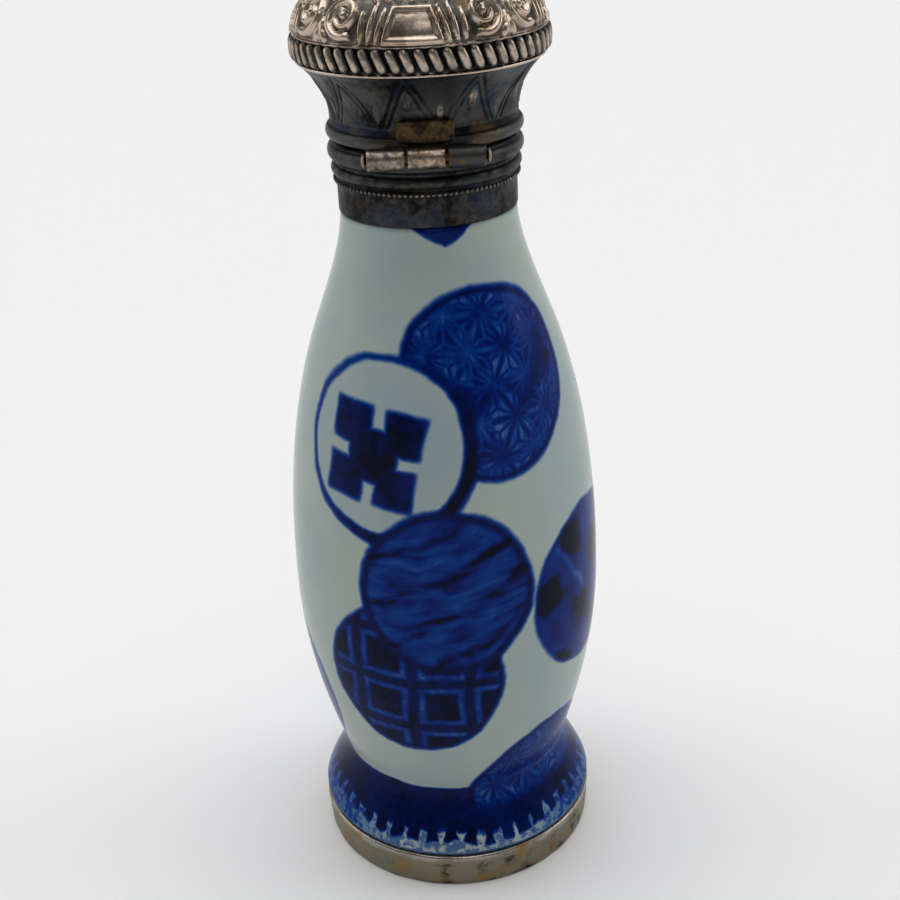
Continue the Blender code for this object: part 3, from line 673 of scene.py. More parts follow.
def glaze_material(values):
    """White glaze over painted cobalt. Nothing is painted inside the bottle or under the collar."""
    material, sketch, shader = new_material("painted_glaze")
    place = sketch.place()
    wall = sketch.use(wall_place_group(), {"Slow Wobble": 0.9, "Quick Wobble": 0.16})

    def painted_over(paint, kind):
        pattern, angle, height, size, turn = kind
        inputs = {"Middle Angle": angle, "Middle Height": height, "Turn": turn, "Size": size}
        roundel = sketch.use(pattern(), {**wall, **inputs})
        return sketch.between(roundel["Cover"], paint, roundel["Paint"])

    at_height = {"Angle": wall["Angle"], "Height": wall["Height"]}
    border = sketch.use(foot_border_group(), at_height)
    pendants = sketch.use(pendant_group(), {**at_height, "Top": COLLAR_FOOT / MM})
    paint = border["Paint"].most(pendants["Paint"])
    paint = sketch.between(border["Cover"], painted_over(paint, FOOT_ROUNDEL), border["Paint"])
    for kind in ROUNDELS:
        paint = painted_over(paint, kind)
    z = sketch.parts(place)[2]
    outer = sketch.attribute("outer")
    over_band = z.smooth(FOOT_BAND_TOP / MM + 0.1, FOOT_BAND_TOP / MM + 0.25)
    under_collar = z.smooth(COLLAR_FOOT / MM - 0.15, COLLAR_FOOT / MM - 0.25)
    shown = over_band * under_collar * outer
    streaks = (sketch.noise(place, 1.3, 60.0, 4.0) - 0.5) * 0.22
    amount = (paint + streaks * paint) * shown
    ramp = sketch.add("ShaderNodeValToRGB", {"Fac": amount})
    cloudy = sketch.noise(place, 0.16, 61.0, 3.0).smooth(0.35, 0.65)
    bare = sketch.shade(cloudy, values["glaze"], values["cool_glaze"])
    stops = ((0.0, "thin_wash"), (0.26, "thin_wash"), (0.52, "wash"), (0.80, "cobalt"), (1.0, "deep_cobalt"))
    while len(ramp.color_ramp.elements) < len(stops):
        ramp.color_ramp.elements.new(0.5)
    for stop, (position, name) in zip(ramp.color_ramp.elements, stops):
        stop.position = position
        stop.color = (*values[name], 1.0)
    painted = sketch.shade(amount.smooth(0.0, 0.30), bare, ramp.outputs["Color"])
    seat = z.smooth(FOOT_SEAT / MM + 0.12, FOOT_SEAT / MM + 0.02)
    lip = z.smooth(MOUTH_TOP / MM - 0.12, MOUTH_TOP / MM - 0.03)
    bisque = seat.most(lip)
    sketch.feed(shader.inputs["Base Color"], sketch.shade(bisque, painted, values["biscuit"]))
    sketch.feed(shader.inputs["Roughness"], sketch.between(bisque, values["roughness"], 0.7))
    shader.inputs["IOR"].default_value = 1.5
    shader.inputs["Specular IOR Level"].default_value = 0.11
    bump = sketch.add("ShaderNodeBump", {"Strength": 0.5, "Distance": 0.03 * MM})
    ripple = sketch.noise(place, 0.30, 62.0) + sketch.noise(place, 2.0, 63.0) * 0.10
    sketch.feed(bump.inputs["Height"], ripple)
    sketch.feed(shader.inputs["Normal"], bump.outputs["Normal"])
    return material


def lid_relief(sketch):
    """The chased relief, and on the hollow side the blotches of its uneven tarnish."""
    place = sketch.place()
    z = sketch.parts(place)[2]
    hollow = z.smooth(LID_WAIST / MM, LID_WAIST / MM + 0.4)
    hollow = hollow * z.smooth(LIP_FOOT / MM + 0.1, LIP_FOOT / MM - 0.2)
    blotch = sketch.noise(place, 0.32, 50.0, 3.0) - 0.5
    return sketch.attribute("relief") + hollow * blotch * 1.3


def lid_staining(sketch):
    """Brown stains lie on the dome, and on the seam's bead round the hinge."""
    x, y, z = sketch.parts(sketch.place())
    dome = z.smooth(DOME_FOOT / MM - 0.3, DOME_FOOT / MM + 0.1)
    low = z.smooth(LID_WAIST / MM + 0.9, LID_WAIST / MM - 0.3)
    beside_panel = abs(x - 4.4).smooth(1.6, 0.7) * y.smooth(-6.0, -8.0)
    return (dome * (0.65 + beside_panel * 0.35)).most(low * y.smooth(-4.0, -6.5) * 0.45) + 0.06


def knuckle_staining(sketch):
    """The right knuckle is the brownest."""
    x = sketch.parts(sketch.place())[0]
    return 0.30 + x.smooth(0.8, 2.2) * 0.70


def foot_mottle_and_painted_light(sketch):
    """Bright here and there on the band's side, with a painted highlight along its upper edge and painted
    shade along its foot on the floor.
    """
    place = sketch.place()
    z = sketch.parts(place)[2]
    # Painted highlight: lighter towards the band's upper edge
    edge = z.smooth(FOOT_BAND_TOP / MM - 1.0, FOOT_BAND_TOP / MM - 0.25)
    # Painted shade: darker along the band's foot where it stands on the floor
    painted_shade_at_foot = z.smooth(0.35, 0.05)
    mottled = sketch.noise(place, 0.55, 45.0, 3.0) - 0.5
    return 0.42 + mottled * 1.4 + edge * 0.48 - painted_shade_at_foot * 0.2


def relief_attribute(sketch):
    return sketch.attribute("relief")


# The patina's colours, by their names among the values
SILVER = {"Bright": "polished", "Dull": "dull", "Dark": "tarnish", "Bloom": "bloom", "Stain": "brown"}
HINGE_SILVER = {**SILVER, "Dull": "brown", "Stain": "tarnish"}
YELLOW_METAL = {"Bright": "worn", "Dull": "metal", "Dark": "dirt", "Bloom": "dirt", "Stain": "gold"}

# Each metal's colours, the function that draws its relief, how much of it is rubbed bright, its staining or
# the function that draws it, its seed, the depth of its pits in millimetres and the grain of its stains
METALS = {
    # The foot band's relief holds a painted highlight along its upper edge and painted shade at its foot
    "worn_foot_metal": (YELLOW_METAL, foot_mottle_and_painted_light, 0.50, 0.80, 41.0, 0.05, 0.9),
    "pin_metal": (YELLOW_METAL, relief_attribute, 0.60, 0.60, 18.0, 0.01, 1.0),
    "collar_silver": (SILVER, relief_attribute, 0.26, 0.14, 7.0, 0.03, 1.0),
    "bead_silver": (SILVER, relief_attribute, 0.18, 0.40, 9.0, 0.01, 1.0),
    "knuckle_silver": (SILVER, relief_attribute, 0.54, knuckle_staining, 12.0, 0.03, 2.6),
    "chased_silver": (SILVER, lid_relief, 0.62, lid_staining, 0.0, 0.03, 1.0),
    "gadroon_silver": (SILVER, relief_attribute, 0.36, 0.30, 3.0, 0.02, 1.0),
    "leaf_silver": (HINGE_SILVER, relief_attribute, 0.55, 0.70, 15.0, 0.03, 2.6),
}


def metal_material(name, values):
    """A worn metal, by its row of METALS."""
    colours, relief, rubbed, staining, seed, bump_depth, grain = METALS[name]
    material, sketch, shader = new_material(name)
    inputs = {"Relief": relief(sketch), "Rubbed": rubbed, "Seed": seed, "Grain": grain}
    inputs["Staining"] = staining(sketch) if callable(staining) else staining
    inputs.update({socket: values[colour_name] for socket, colour_name in colours.items()})
    patina = sketch.use(patina_group(), inputs)
    marks = sketch.use(scratches_group(), {"Depth": 0.8, "Seed": seed})
    sketch.feed(shader.inputs["Base Color"], patina["Color"])
    sketch.feed(shader.inputs["Roughness"], patina["Roughness"])
    shader.inputs["Metallic"].default_value = 1.0
    bump = sketch.add("ShaderNodeBump", {"Strength": 0.8, "Distance": bump_depth * MM})
    sketch.feed(bump.inputs["Height"], patina["Height"] + marks["Height"])
    sketch.feed(shader.inputs["Normal"], bump.outputs["Normal"])
    return material


def dict_of(values):
    """The values of a property group as plain numbers and tuples."""
    found = {}
    for name in values.__annotations__:
        value = getattr(values, name)
        found[name] = tuple(value) if hasattr(value, "__len__") else value
    return found


def cubic(start, end, steps):
    """(radius, height) along the curve between two (radius, height, slope) stations, without its end."""
    radius_a, height_a, slope_a = start
    radius_b, height_b, slope_b = end
    rise = height_b - height_a
    points = []
    for step in range(steps):
        t = step / steps
        radius = (
            radius_a * (2 * t**3 - 3 * t**2 + 1)
            + slope_a * rise * (t**3 - 2 * t**2 + t)
            + radius_b * (3 * t**2 - 2 * t**3)
            + slope_b * rise * (t**3 - t**2)
        )
        points.append((radius, height_a + rise * t))
    return points


def arc(centre_radius, centre_height, across, along, start, end, steps):
    """(radius, height) along an elliptical arc of the section, from start to end in degrees."""
    points = []
    for step in range(steps + 1):
        angle = math.radians(start + (end - start) * step / steps)
        points.append((centre_radius + across * math.cos(angle), centre_height + along * math.sin(angle)))
    return points


def bead(radius, foot, height, proud, steps=12):
    """The section of a half-round moulding on a plain wall, from its foot to its top."""
    return arc(radius, foot + height / 2, proud, height / 2, -90, 90, steps)


def hand_out(sketch, name, form):
    """Puts the group's material on what the form node makes, and hands it out under this name."""
    inputs = {"Geometry": form.outputs[0], "Material": sketch["Material"]}
    sketch.give(name, sketch.add("GeometryNodeSetMaterial", inputs).outputs[0])
    return sketch.tree


@shared
def turned_form_tree():
    """Turns an outline, drawn in the XZ plane, about the Z axis. Its outer attribute goes with it."""
    inputs = {"Outline": "form", "Columns": "count", "Material": "material"}
    sketch = new_group("Turned Form", inputs, {"Form": "form"}, "GeometryNodeTree")
    outline = sketch["Outline"]
    columns = sketch["Columns"]
    size = sketch.add("GeometryNodeAttributeDomainSize", {"Geometry": outline}, component="MESH")
    rows = sketch.wire(size, "Point Count")
    grid = sketch.add("GeometryNodeMeshGrid", {"Vertices X": columns + 1.0, "Vertices Y": rows})
    index = sketch.wire(sketch.add("GeometryNodeInputIndex"))
    row = sketch.math("MODULO", index, rows)
    column = sketch.math("FLOOR", index / rows)
    position = sketch.add("GeometryNodeInputPosition")
    place = sketch.add(
        "GeometryNodeSampleIndex",
        {"Geometry": outline, "Value": position.outputs[0], "Index": row},
        data_type="FLOAT_VECTOR",
    )
    outer = sketch.add("GeometryNodeInputNamedAttribute", {"Name": "outer"}, data_type="FLOAT")
    carried = sketch.add(
        "GeometryNodeSampleIndex",
        {"Geometry": outline, "Value": outer.outputs["Attribute"], "Index": row},
        data_type="FLOAT",
    )
    radius, _, height = sketch.parts(place.outputs[0])
    angle = column / columns * (2 * math.pi)
    turned = sketch.vector(
        radius * sketch.math("SINE", angle), -(radius * sketch.math("COSINE", angle)), height
    )
    form = sketch.add("GeometryNodeSetPosition", {"Geometry": grid.outputs["Mesh"], "Position": turned})
    stored = sketch.store(form, "outer", carried.outputs[0])
    sewn = sketch.add("GeometryNodeMergeByDistance", {"Geometry": stored.outputs[0], "Distance": 0.001 * MM})
    smooth = sketch.add("GeometryNodeSetShadeSmooth", {0: sewn.outputs[0]})
    real = sketch.add("GeometryNodeRealizeInstances", {0: smooth.outputs[0]})
    return hand_out(sketch, "Form", real)


LOBE_MEASURES = ("Ring Radius", "Ring Height", "Width", "Depth", "Length", "Bluntness", "Slant")


@shared
def ring_of_lobes_tree():
    """Sets slanted round lobes side by side in a ring about the Z axis.

    Bluntness is 0 for rounded ends, and nearer to 1 it makes them squarer.
    """
    measures = dict.fromkeys(LOBE_MEASURES, "value")
    inputs = {"Geometry": "form", "Count": "count", **measures, "Material": "material"}
    sketch = new_group("Ring of Lobes", inputs, {"Ring": "form"}, "GeometryNodeTree")
    ball = sketch.add("GeometryNodeMeshUVSphere", {"Segments": 12, "Rings": 8, "Radius": 0.5})
    x, y, z = sketch.parts(sketch.add("GeometryNodeInputPosition").outputs[0])
    blunt = sketch.math("SIGN", z) * sketch.math("POWER", abs(z) * 2.0, 1.0 - sketch["Bluntness"]) * 0.5
    shape = sketch.vector(x * sketch["Width"], y * sketch["Depth"], blunt * sketch["Length"])
    lobe = sketch.add("GeometryNodeSetPosition", {"Geometry": ball.outputs["Mesh"], "Position": shape})
    here = sketch.add("GeometryNodeInputPosition")
    outwards = sketch.parts(here.outputs[0])[1]
    raised = (-(outwards / sketch["Depth"])).smooth(-0.05, 0.42)
    marked = sketch.store(lobe, "relief", raised)
    smooth = sketch.add("GeometryNodeSetShadeSmooth", {0: marked.outputs[0]})
    angle = sketch.wire(sketch.add("GeometryNodeInputIndex")) / sketch["Count"] * (2 * math.pi)
    ring = sketch.vector(
        sketch["Ring Radius"] * sketch.math("SINE", angle),
        -(sketch["Ring Radius"] * sketch.math("COSINE", angle)),
        sketch["Ring Height"],
    )
    points = sketch.add("GeometryNodePoints", {"Count": sketch["Count"], "Position": ring})
    lean = sketch.vector(0.0, sketch["Slant"], angle)
    rotation = sketch.add("FunctionNodeEulerToRotation", {0: lean})
    copies = sketch.add(
        "GeometryNodeInstanceOnPoints",
        {"Points": points.outputs[0], "Instance": smooth.outputs[0], "Rotation": rotation.outputs[0]},
    )
    real = sketch.add("GeometryNodeRealizeInstances", {0: copies.outputs[0]})
    return hand_out(sketch, "Ring", real)


def new_object(name, mesh):
    placed = bpy.data.objects.new(name, mesh)
    bpy.context.scene.collection.objects.link(placed)
    return placed


def plain_mesh(piece):
    """The piece's mesh with its modifiers worked in, and the modifiers gone."""
    graph = bpy.context.evaluated_depsgraph_get()
    mesh = bpy.data.meshes.new_from_object(
        piece.evaluated_get(graph), preserve_all_data_layers=True, depsgraph=graph
    )
    piece.modifiers.clear()
    return mesh


def grown(name, source, tree, inputs):
    """The plain piece that a geometry group makes of a source mesh."""
    seed = new_object(name + "_seed", source)
    modifier = seed.modifiers.new(tree.name, "NODES")
    modifier.node_group = tree
    sockets = tree.interface.items_tree
    identifiers = {item.name: item.identifier for item in sockets if item.in_out == "INPUT"}
    for label, value in inputs.items():
        modifier[identifiers[label]] = value
    mesh = plain_mesh(seed)
    bpy.data.objects.remove(seed)
    mesh.name = name
    return new_object(name, mesh)


def turned(name, points, outer, columns, material):
    """A piece turned about the Z axis. Its outline runs up its outer side and down its inner one.

    Outer is 1 for each point on the outer side and 0 for the others.
    """
    outline = bpy.data.meshes.new(name + "_outline")
    edges = [(place, place + 1) for place in range(len(points) - 1)]
    outline.from_pydata([(radius, 0.0, height) for radius, height in points], edges, [])
    attribute = outline.attributes.new("outer", "FLOAT", "POINT")
    attribute.data.foreach_set("value", [float(mark) for mark in outer])
    return grown(name, outline, turned_form_tree(), {"Columns": columns, "Material": material})


def ring_of_lobes(name, material, lobe_count, ring, size, bluntness=0.0, slant=0.0):
    """A ring of lobes, by its (radius, height) and by a lobe's (width, depth, length)."""
    inputs = dict(zip(LOBE_MEASURES, (*ring, *size, bluntness, slant)))
    inputs.update({"Count": lobe_count, "Material": material})
    return grown(name, bpy.data.meshes.new(name + "_source"), ring_of_lobes_tree(), inputs)


def place_piece(piece, body, slot, *nodes):
    """Rides the piece on its body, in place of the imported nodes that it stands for."""
    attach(piece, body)
    if nodes:
        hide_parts(*nodes)


def porcelain_outline(values):
    """The outside from the middle of the underside to the lip, and the inside down to the floor."""
    spigot_foot = FOOT_BAND_RADIUS - FOOT_BAND_LEAN - METAL_WALL - SEAT_GAP
    recess = spigot_foot - 2.2 * MM
    recess_top = FOOT_SEAT + 1.0 * MM
    rounding = 0.5 * MM
    names = ("foot", "waist", "belly", "shoulder", "neck", "spigot", "bore")
    foot, waist, belly, shoulder, neck, spigot, bore = (values[name + "_radius"] for name in names)
    wall = values["wall"]
    small = 0.15 * MM
    outside = [(0.0, recess_top)]
    outside += [(recess * step / 6, recess_top) for step in range(1, 6)]
    outside += arc(recess - small, recess_top - small, small, small, 90, 0, 3)
    outside += arc(recess + small, FOOT_SEAT + small, small, small, 180, 270, 3)
    outside += arc(spigot_foot - small, FOOT_SEAT + small, small, small, -90, 0, 3)
    underside = FOOT_BAND_TOP + TOUCH
    outside += [(spigot_foot, underside)]
    along = FOOT_EDGE + rounding - underside
    outside += arc(foot - rounding, FOOT_EDGE + rounding, rounding, along, -90, -6, 7)
    outside += cubic((foot, FOOT_EDGE + rounding, -0.35), (waist, WAIST, -0.10), 30)
    outside += cubic((waist, WAIST, 0.34), (belly, BELLY, 0.0), 46)[1:]
    outside += cubic((belly, BELLY, 0.0), (shoulder, SHOULDER, -0.30), 50)
    outside += cubic((shoulder, SHOULDER, -0.30), (neck, NECK_TOP, -0.07), 30)
    outside += [(neck, NECK_TOP)] + [(spigot, NECK_TOP + up * MM) for up in (0, 2, 4)]
    outside += arc(spigot - rounding, MOUTH_TOP - rounding, rounding, rounding, 0, 90, 6)
    floor = FOOT_SEAT + 4.0 * MM
    corner = 2.0 * MM
    upwards = cubic((waist - wall, WAIST, 0.34), (belly - wall, BELLY, 0.0), 20)
    upwards += cubic((belly - wall, BELLY, 0.0), (shoulder - wall, SHOULDER, -0.30), 20)
    upwards += cubic((shoulder - wall, SHOULDER, -0.30), (bore, NECK_TOP, 0.0), 14)
    inside = arc(bore + rounding, MOUTH_TOP - rounding, rounding, rounding, 90, 180, 6)
    inside += [(bore, NECK_TOP)] + upwards[::-1]
    inside += arc(waist - wall - corner, floor + corner, corner, corner, 0, -90, 8)
    inside += [((waist - wall - corner) * (1 - step / 5), floor) for step in range(1, 6)]
    return outside, inside


class BOTTLE_OT_porcelain(bpy.types.Operator):
    """Turns the hollow porcelain and paints it under its glaze"""

    bl_idname = "perfume_bottle.porcelain"
    bl_label = "Porcelain"

    def execute(self, context):
        values = dict_of(context.scene.porcelain_values)
        outside, inside = porcelain_outline(values)
        material = glaze_material(values)
        marks = [1] * len(outside) + [0] * len(inside)
        piece = turned("painted_porcelain", outside + inside, marks, values["columns"], material)
        place_piece(piece, "bottle", "glazed_porcelain", "porcelain_bottle")
        return {"FINISHED"}


class BOTTLE_OT_foot_band(bpy.types.Operator):
    """Turns the metal band round the foot, with a few soft dents"""

    bl_idname = "perfume_bottle.foot_band"
    bl_label = "Foot band"

    def execute(self, context):
        values = dict_of(context.scene.foot_values)
        top = FOOT_BAND_RADIUS
        bottom = top - FOOT_BAND_LEAN
        shelf_width = 1.9 * MM
        shelf = 0.9 * MM
        rounding = 0.25 * MM
        bore = bottom - METAL_WALL
        outside = [(bore - shelf_width, 0.0), (bottom - 2 * rounding, 0.0)]
        outside += arc(bottom - rounding, rounding, rounding, rounding, -90, 0, 6)
        side_height = FOOT_BAND_TOP - 2 * rounding
        for step in range(1, 12):
            outside.append((bottom + (top - bottom) * step / 12, rounding + side_height * step / 12))
        outside += arc(top - rounding, FOOT_BAND_TOP - rounding, rounding, rounding, 0, 90, 6)
        inside = [(bore, FOOT_BAND_TOP), (bore, shelf), (bore - shelf_width, shelf)]
        material = metal_material("worn_foot_metal", values)
        marks = [1] * len(outside) + [0] * len(inside) + [1]
        piece = turned("foot_band", outside + inside + outside[:1], marks, values["columns"], material)
        dent(piece)
        place_piece(piece, "bottle", "foot_metal", "foot_mount")
        return {"FINISHED"}


def read(source, name, width=3):
    """One property of every point, as rows of numbers."""
    found = np.empty(len(source) * width)
    source.foreach_get(name, found)
    return found.reshape(-1, width)


def points_of(mesh):
    return read(mesh.vertices, "co")


def outer_of(mesh):
    return read(mesh.attributes["outer"].data, "value", 1)[:, 0] > 0.5


def set_relief(mesh, relief):
    attribute = mesh.attributes.new("relief", "FLOAT", "POINT")
    attribute.data.foreach_set("value", np.broadcast_to(relief, len(mesh.vertices)).astype(np.float32))


def move_points(mesh, points):
    mesh.vertices.foreach_set("co", points.ravel())
    mesh.update()


def dent(piece):
    """Presses shallow dents into the side of the foot band."""
    mesh = piece.data
    points = points_of(mesh)
    angle = np.arctan2(points[:, 0], -points[:, 1])
    wave = np.sin(angle * 5 + 0.7) * np.sin(angle * 11 + 2.1) + 0.6 * np.sin(angle * 23 + 4.0)
    depth = 0.035 * MM * np.clip(wave, 0, None) * outer_of(mesh)
    radius = np.hypot(points[:, 0], points[:, 1])
    points[:, :2] *= (1 - depth / radius)[:, None]
    move_points(mesh, points)


def ridge(distance, half_width):
    """The height, from 0 to 1, of a round ridge at this distance from its middle line."""
    return np.sqrt(np.clip(1 - (distance / half_width) ** 2, 0, 1))


def plateau(inside, slope):
    """0 outside a shape and 1 inside it, with a bevel of this width along its edge."""
    t = np.clip(inside / slope, 0, 1)
    return t * t * (3 - 2 * t)


def petal(across, up, foot, length, width, lean):
    """A pointed petal with a vein. Its foot is (across, up), and it leans by an angle from upright."""
    along = (across - foot[0]) * math.sin(lean) + (up - foot[1]) * math.cos(lean)
    aside = (across - foot[0]) * math.cos(lean) - (up - foot[1]) * math.sin(lean)
    t = np.clip(along / length, 0, 1)
    half = width / 2 * np.sin(math.pi * t**0.75) + 1e-6
    vein = 1 - min(max(width - 0.6, 0), 0.2) * 2.5 * np.exp(-((aside / 0.09) ** 2))
    shape = ridge(aside, half) * vein * (0.6 + 0.4 * t)
    return np.where((along > 0) & (along < length), shape, 0.0)


def scroll(across, up, centre, size, turns, start, hand):
    """A stroke that winds in to a round eye. Start is the angle at which its outer end begins."""
    x = (across - centre[0]) * hand
    y = up - centre[1]
    out = np.hypot(x, y)
    angle = np.mod(np.arctan2(y, x) - start, 2 * math.pi)
    best = np.zeros_like(out)
    for lap in range(math.ceil(turns)):
        wound = (angle + 2 * math.pi * lap) / (2 * math.pi * turns)
        reach = size * (1 - 0.80 * wound)
        half = 0.34 * (1 - 0.45 * wound)
        height = ridge(out - reach, half) * np.where(wound <= 1, 1.0, 0.0)
        best = np.maximum(best, height)
    return np.maximum(best, ridge(out, size * 0.22))


def panel(across, up):
    """A bevelled frame round a plain polished field that tapers upwards."""
    foot = 0.12
    head = 3.05
    t = np.clip((up - foot) / (head - foot), 0, 1)
    half = (4.9 - 1.5 * t) / 2
    inside = np.minimum(half - across, np.minimum(up - foot, head - up))
    frame_height = plateau(inside, 0.14) * 0.36 - plateau(inside - 0.34, 0.26) * 0.22
    return frame_height, inside > 0


def shell(across, up):
    """A shell whose lobes fan out from its foot."""
    out = np.hypot(across, up)
    turn = np.arctan2(across, np.maximum(up, 1e-6))
    fan = math.radians(80)
    lobes = 7
    lobe = np.abs(np.cos(turn / fan * math.pi * lobes / 2)) ** 0.6
    edge = 3.1 + 0.25 * lobe
    shape = lobe * ridge(out - edge * 0.62, edge * 0.40) + 0.8 * ridge(out, 0.5)
    return np.where((np.abs(turn) < fan) & (up > 0), shape, 0.0)


def dome_relief(angle, up):
    """How far the chased work stands out of the dome, in millimetres."""
    sector = math.pi / 2
    turn = np.mod(angle + math.radians(3.4) + sector / 2, sector) - sector / 2
    across = np.abs(turn) * DOME_RADIUS / MM
    frame_height, on_panel = panel(across, up)
    half_sector = sector / 2 * DOME_RADIUS / MM
    forms = [
        0.46 * scroll(across, up, (5.85, 2.15), 1.62, 1.7, math.radians(-120), 1.0),
        0.34 * scroll(across, up, (4.3, 5.0), 1.15, 1.4, math.radians(100), -1.0),
        0.40 * shell(across - half_sector, up - 3.5),
    ]
    leaves = (
        ((2.85, 0.15), 3.0, 0.52, -0.26),
        ((3.45, 0.15), 3.3, 0.56, -0.16),
        ((4.05, 0.20), 2.6, 0.56, -0.02),
        ((7.30, 0.10), 1.0, 0.60, 0.30),
        ((7.85, 0.15), 1.9, 0.80, 0.0),
        ((7.00, 3.75), 1.5, 0.60, -0.55),
        ((5.35, 3.75), 1.6, 0.60, 0.10),
        ((3.10, 3.35), 2.5, 0.80, 0.30),
        ((2.00, 3.30), 2.4, 0.80, 0.22),
        ((1.05, 3.25), 2.9, 0.85, 0.16),
        ((0.00, 3.20), 3.9, 1.00, 0.0),
        ((2.70, 5.20), 2.4, 0.85, 0.10),
        ((5.35, 5.20), 2.2, 0.80, 0.35),
    )
    for foot, reach, width, lean in leaves:
        forms.append(0.42 * petal(across, up, foot, reach, width, lean))
    carved = np.where(on_panel, 0.0, np.maximum.reduce(forms))
    lobes = np.abs(np.cos(angle * 8)) ** 0.7
    rosette = 0.26 * lobes * ridge(up - 9.6, 1.9)
    ring = 0.22 * ridge(up - 7.75, 0.26)
    boss = 0.10 * ridge(up - 12.2, 0.9)
    lower = np.where(up < 7.5, carved + frame_height, 0.0)
    return np.maximum.reduce([lower, rosette, ring, boss])


def flare_relief(angle, share_up):
    """The depth of the zigzags and small leaves chased on the lid's hollow side, in millimetres."""
    count_round = 10
    turns = angle * count_round / (2 * math.pi) + 0.25
    beside = np.abs(np.mod(turns, 1.0) - 0.5) * 2
    reach = 2 * math.pi * 8.6 / count_round / 2
    apart = (beside - share_up * 0.92 - 0.04) * reach * 0.74
    lines = np.minimum(np.abs(apart), np.abs(apart - 0.42))
    cut = -0.045 * ridge(lines, 0.13)
    across = (1 - beside) * reach
    up = share_up * 4.4
    leaf = 0.10 * petal(across, up, (0.0, 1.5), 2.3, 0.95, 0.0)
    side_leaf = 0.08 * petal(across, up, (0.15, 2.2), 1.7, 0.6, 0.7)
    drop = 0.09 * petal(beside * reach, -up, (0.0, -2.1), 1.7, 0.7, 0.0)
    inside = np.where(apart > 0.5, np.maximum(leaf, side_leaf), np.where(apart < -0.1, drop, 0.0))
    fade = plateau(share_up, 0.06) * plateau(1 - share_up, 0.06)
    return (cut + inside) * fade


def flare_at(share_up, inset=0.0):
    """(radius, height) on the lid's hollow side, at this share of its height."""
    radius = LID_WAIST_RADIUS + (LIP_RADIUS - LID_WAIST_RADIUS) * share_up**2.1 - inset
    return radius, LID_WAIST + (LIP_FOOT - LID_WAIST) * share_up


def lid_outside():
    """The lid's outside, from its foot to the top of its dome."""
    points = [(LID_WAIST_RADIUS, LID_FOOT)]
    points += bead(LID_WAIST_RADIUS, LID_FOOT, LID_BEAD_HEIGHT, 0.4 * MM)[1:]
    steps = 38
    points += [flare_at(step / steps) for step in range(steps + 1)]
    points += bead(LIP_RADIUS, LIP_FOOT, GADROON_FOOT - LIP_FOOT, 0.22 * MM, 6)[1:]
    band = DOME_FOOT - GADROON_FOOT
    for step in range(1, 10):
        t = step / 10
        swell = 0.16 * MM * math.sin(math.pi * t)
        radius = LIP_RADIUS + (DOME_RADIUS - LIP_RADIUS) * t + swell
        points.append((radius, GADROON_FOOT + band * t))
    points += bead(DOME_RADIUS - 0.02 * MM, DOME_FOOT - 0.18 * MM, 0.26 * MM, 0.20 * MM, 6)[1:]
    angles = dome_angles(108)[2:]
    points += [(DOME_RADIUS * math.cos(a), DOME_FOOT + DOME_HEIGHT * math.sin(a)) for a in angles]
    points[-1] = (0.0, DOME_TOP)
    return points


def dome_lengths(steps=400):
    """Angles from the foot of the dome to its top, and the length over the surface to each."""
    angles = np.linspace(0, math.pi / 2, steps)
    across = DOME_RADIUS * np.cos(angles)
    along = DOME_HEIGHT * np.sin(angles)
    pieces = np.hypot(np.diff(across), np.diff(along))
    return angles, np.concatenate([[0.0], np.cumsum(pieces)])


def dome_angles(rows):
    """The angles of rows that stand evenly over the dome."""
    angles, lengths = dome_lengths()
    return np.interp(np.linspace(0, lengths[-1], rows), lengths, angles)


def lid_inside():
    """The inside of the lid, from the top down, one wall inside the outside."""
    points = []
    for step in range(10):
        angle = math.radians(90 * (1 - step / 9))
        across = (DOME_RADIUS - METAL_WALL) * math.cos(angle)
        points.append((across, DOME_FOOT + (DOME_HEIGHT - METAL_WALL) * math.sin(angle)))
    points[0] = (0.0, DOME_TOP - METAL_WALL)
    points += [flare_at(share_up, METAL_WALL) for share_up in (1.0, 0.7, 0.35, 0.0)]
    return points + [(LID_WAIST_RADIUS - METAL_WALL, LID_FOOT)]


def emboss(piece):
    """Chases the lid: moves its outer points out or in, and keeps how raised each is for the tarnish."""
    mesh = piece.data
    points = points_of(mesh)
    normals = read(mesh.vertices, "normal")
    outer = outer_of(mesh)
    angle = np.arctan2(points[:, 0], -points[:, 1])
    height = points[:, 2]
    angles, lengths = dome_lengths()
    rise = np.arcsin(np.clip((height - DOME_FOOT) / DOME_HEIGHT, 0, 1))
    over = np.interp(rise, angles, lengths) / MM
    on_dome = outer & (height > DOME_FOOT)
    on_flare = outer & (height > LID_WAIST) & (height < LIP_FOOT)
    flare_share = np.clip((height - LID_WAIST) / (LIP_FOOT - LID_WAIST), 0, 1)
    dome = dome_relief(angle, over)
    flare = flare_relief(angle, flare_share)
    room = (DOME_TOP - height) / MM / np.maximum(normals[:, 2], 0.05)
    moved = np.minimum(np.where(on_dome, dome, 0.0) + np.where(on_flare, flare, 0.0), room)
    move_points(mesh, points + normals * (moved * MM)[:, None])
    bead_share = np.clip((height - LID_FOOT) / LID_BEAD_HEIGHT, 0, 1)
    relief = np.zeros_like(height)
    for zone, level in (
        (on_dome, 0.62 + dome / 0.55),
        (on_flare, 0.22 + flare / 0.20),
        (height < LID_FOOT + LID_BEAD_HEIGHT, 0.05 + 0.45 * np.sin(math.pi * bead_share)),
        ((height >= LIP_FOOT) & (height <= GADROON_FOOT), 0.95),
        ((height > GADROON_FOOT) & (height < DOME_FOOT - 0.19 * MM), -0.2),
        (np.abs(height - DOME_FOOT + 0.05 * MM) < 0.14 * MM, 0.8),
        (~outer, 0.35),
    ):
        relief = np.where(zone, level, relief)
    set_relief(mesh, relief)


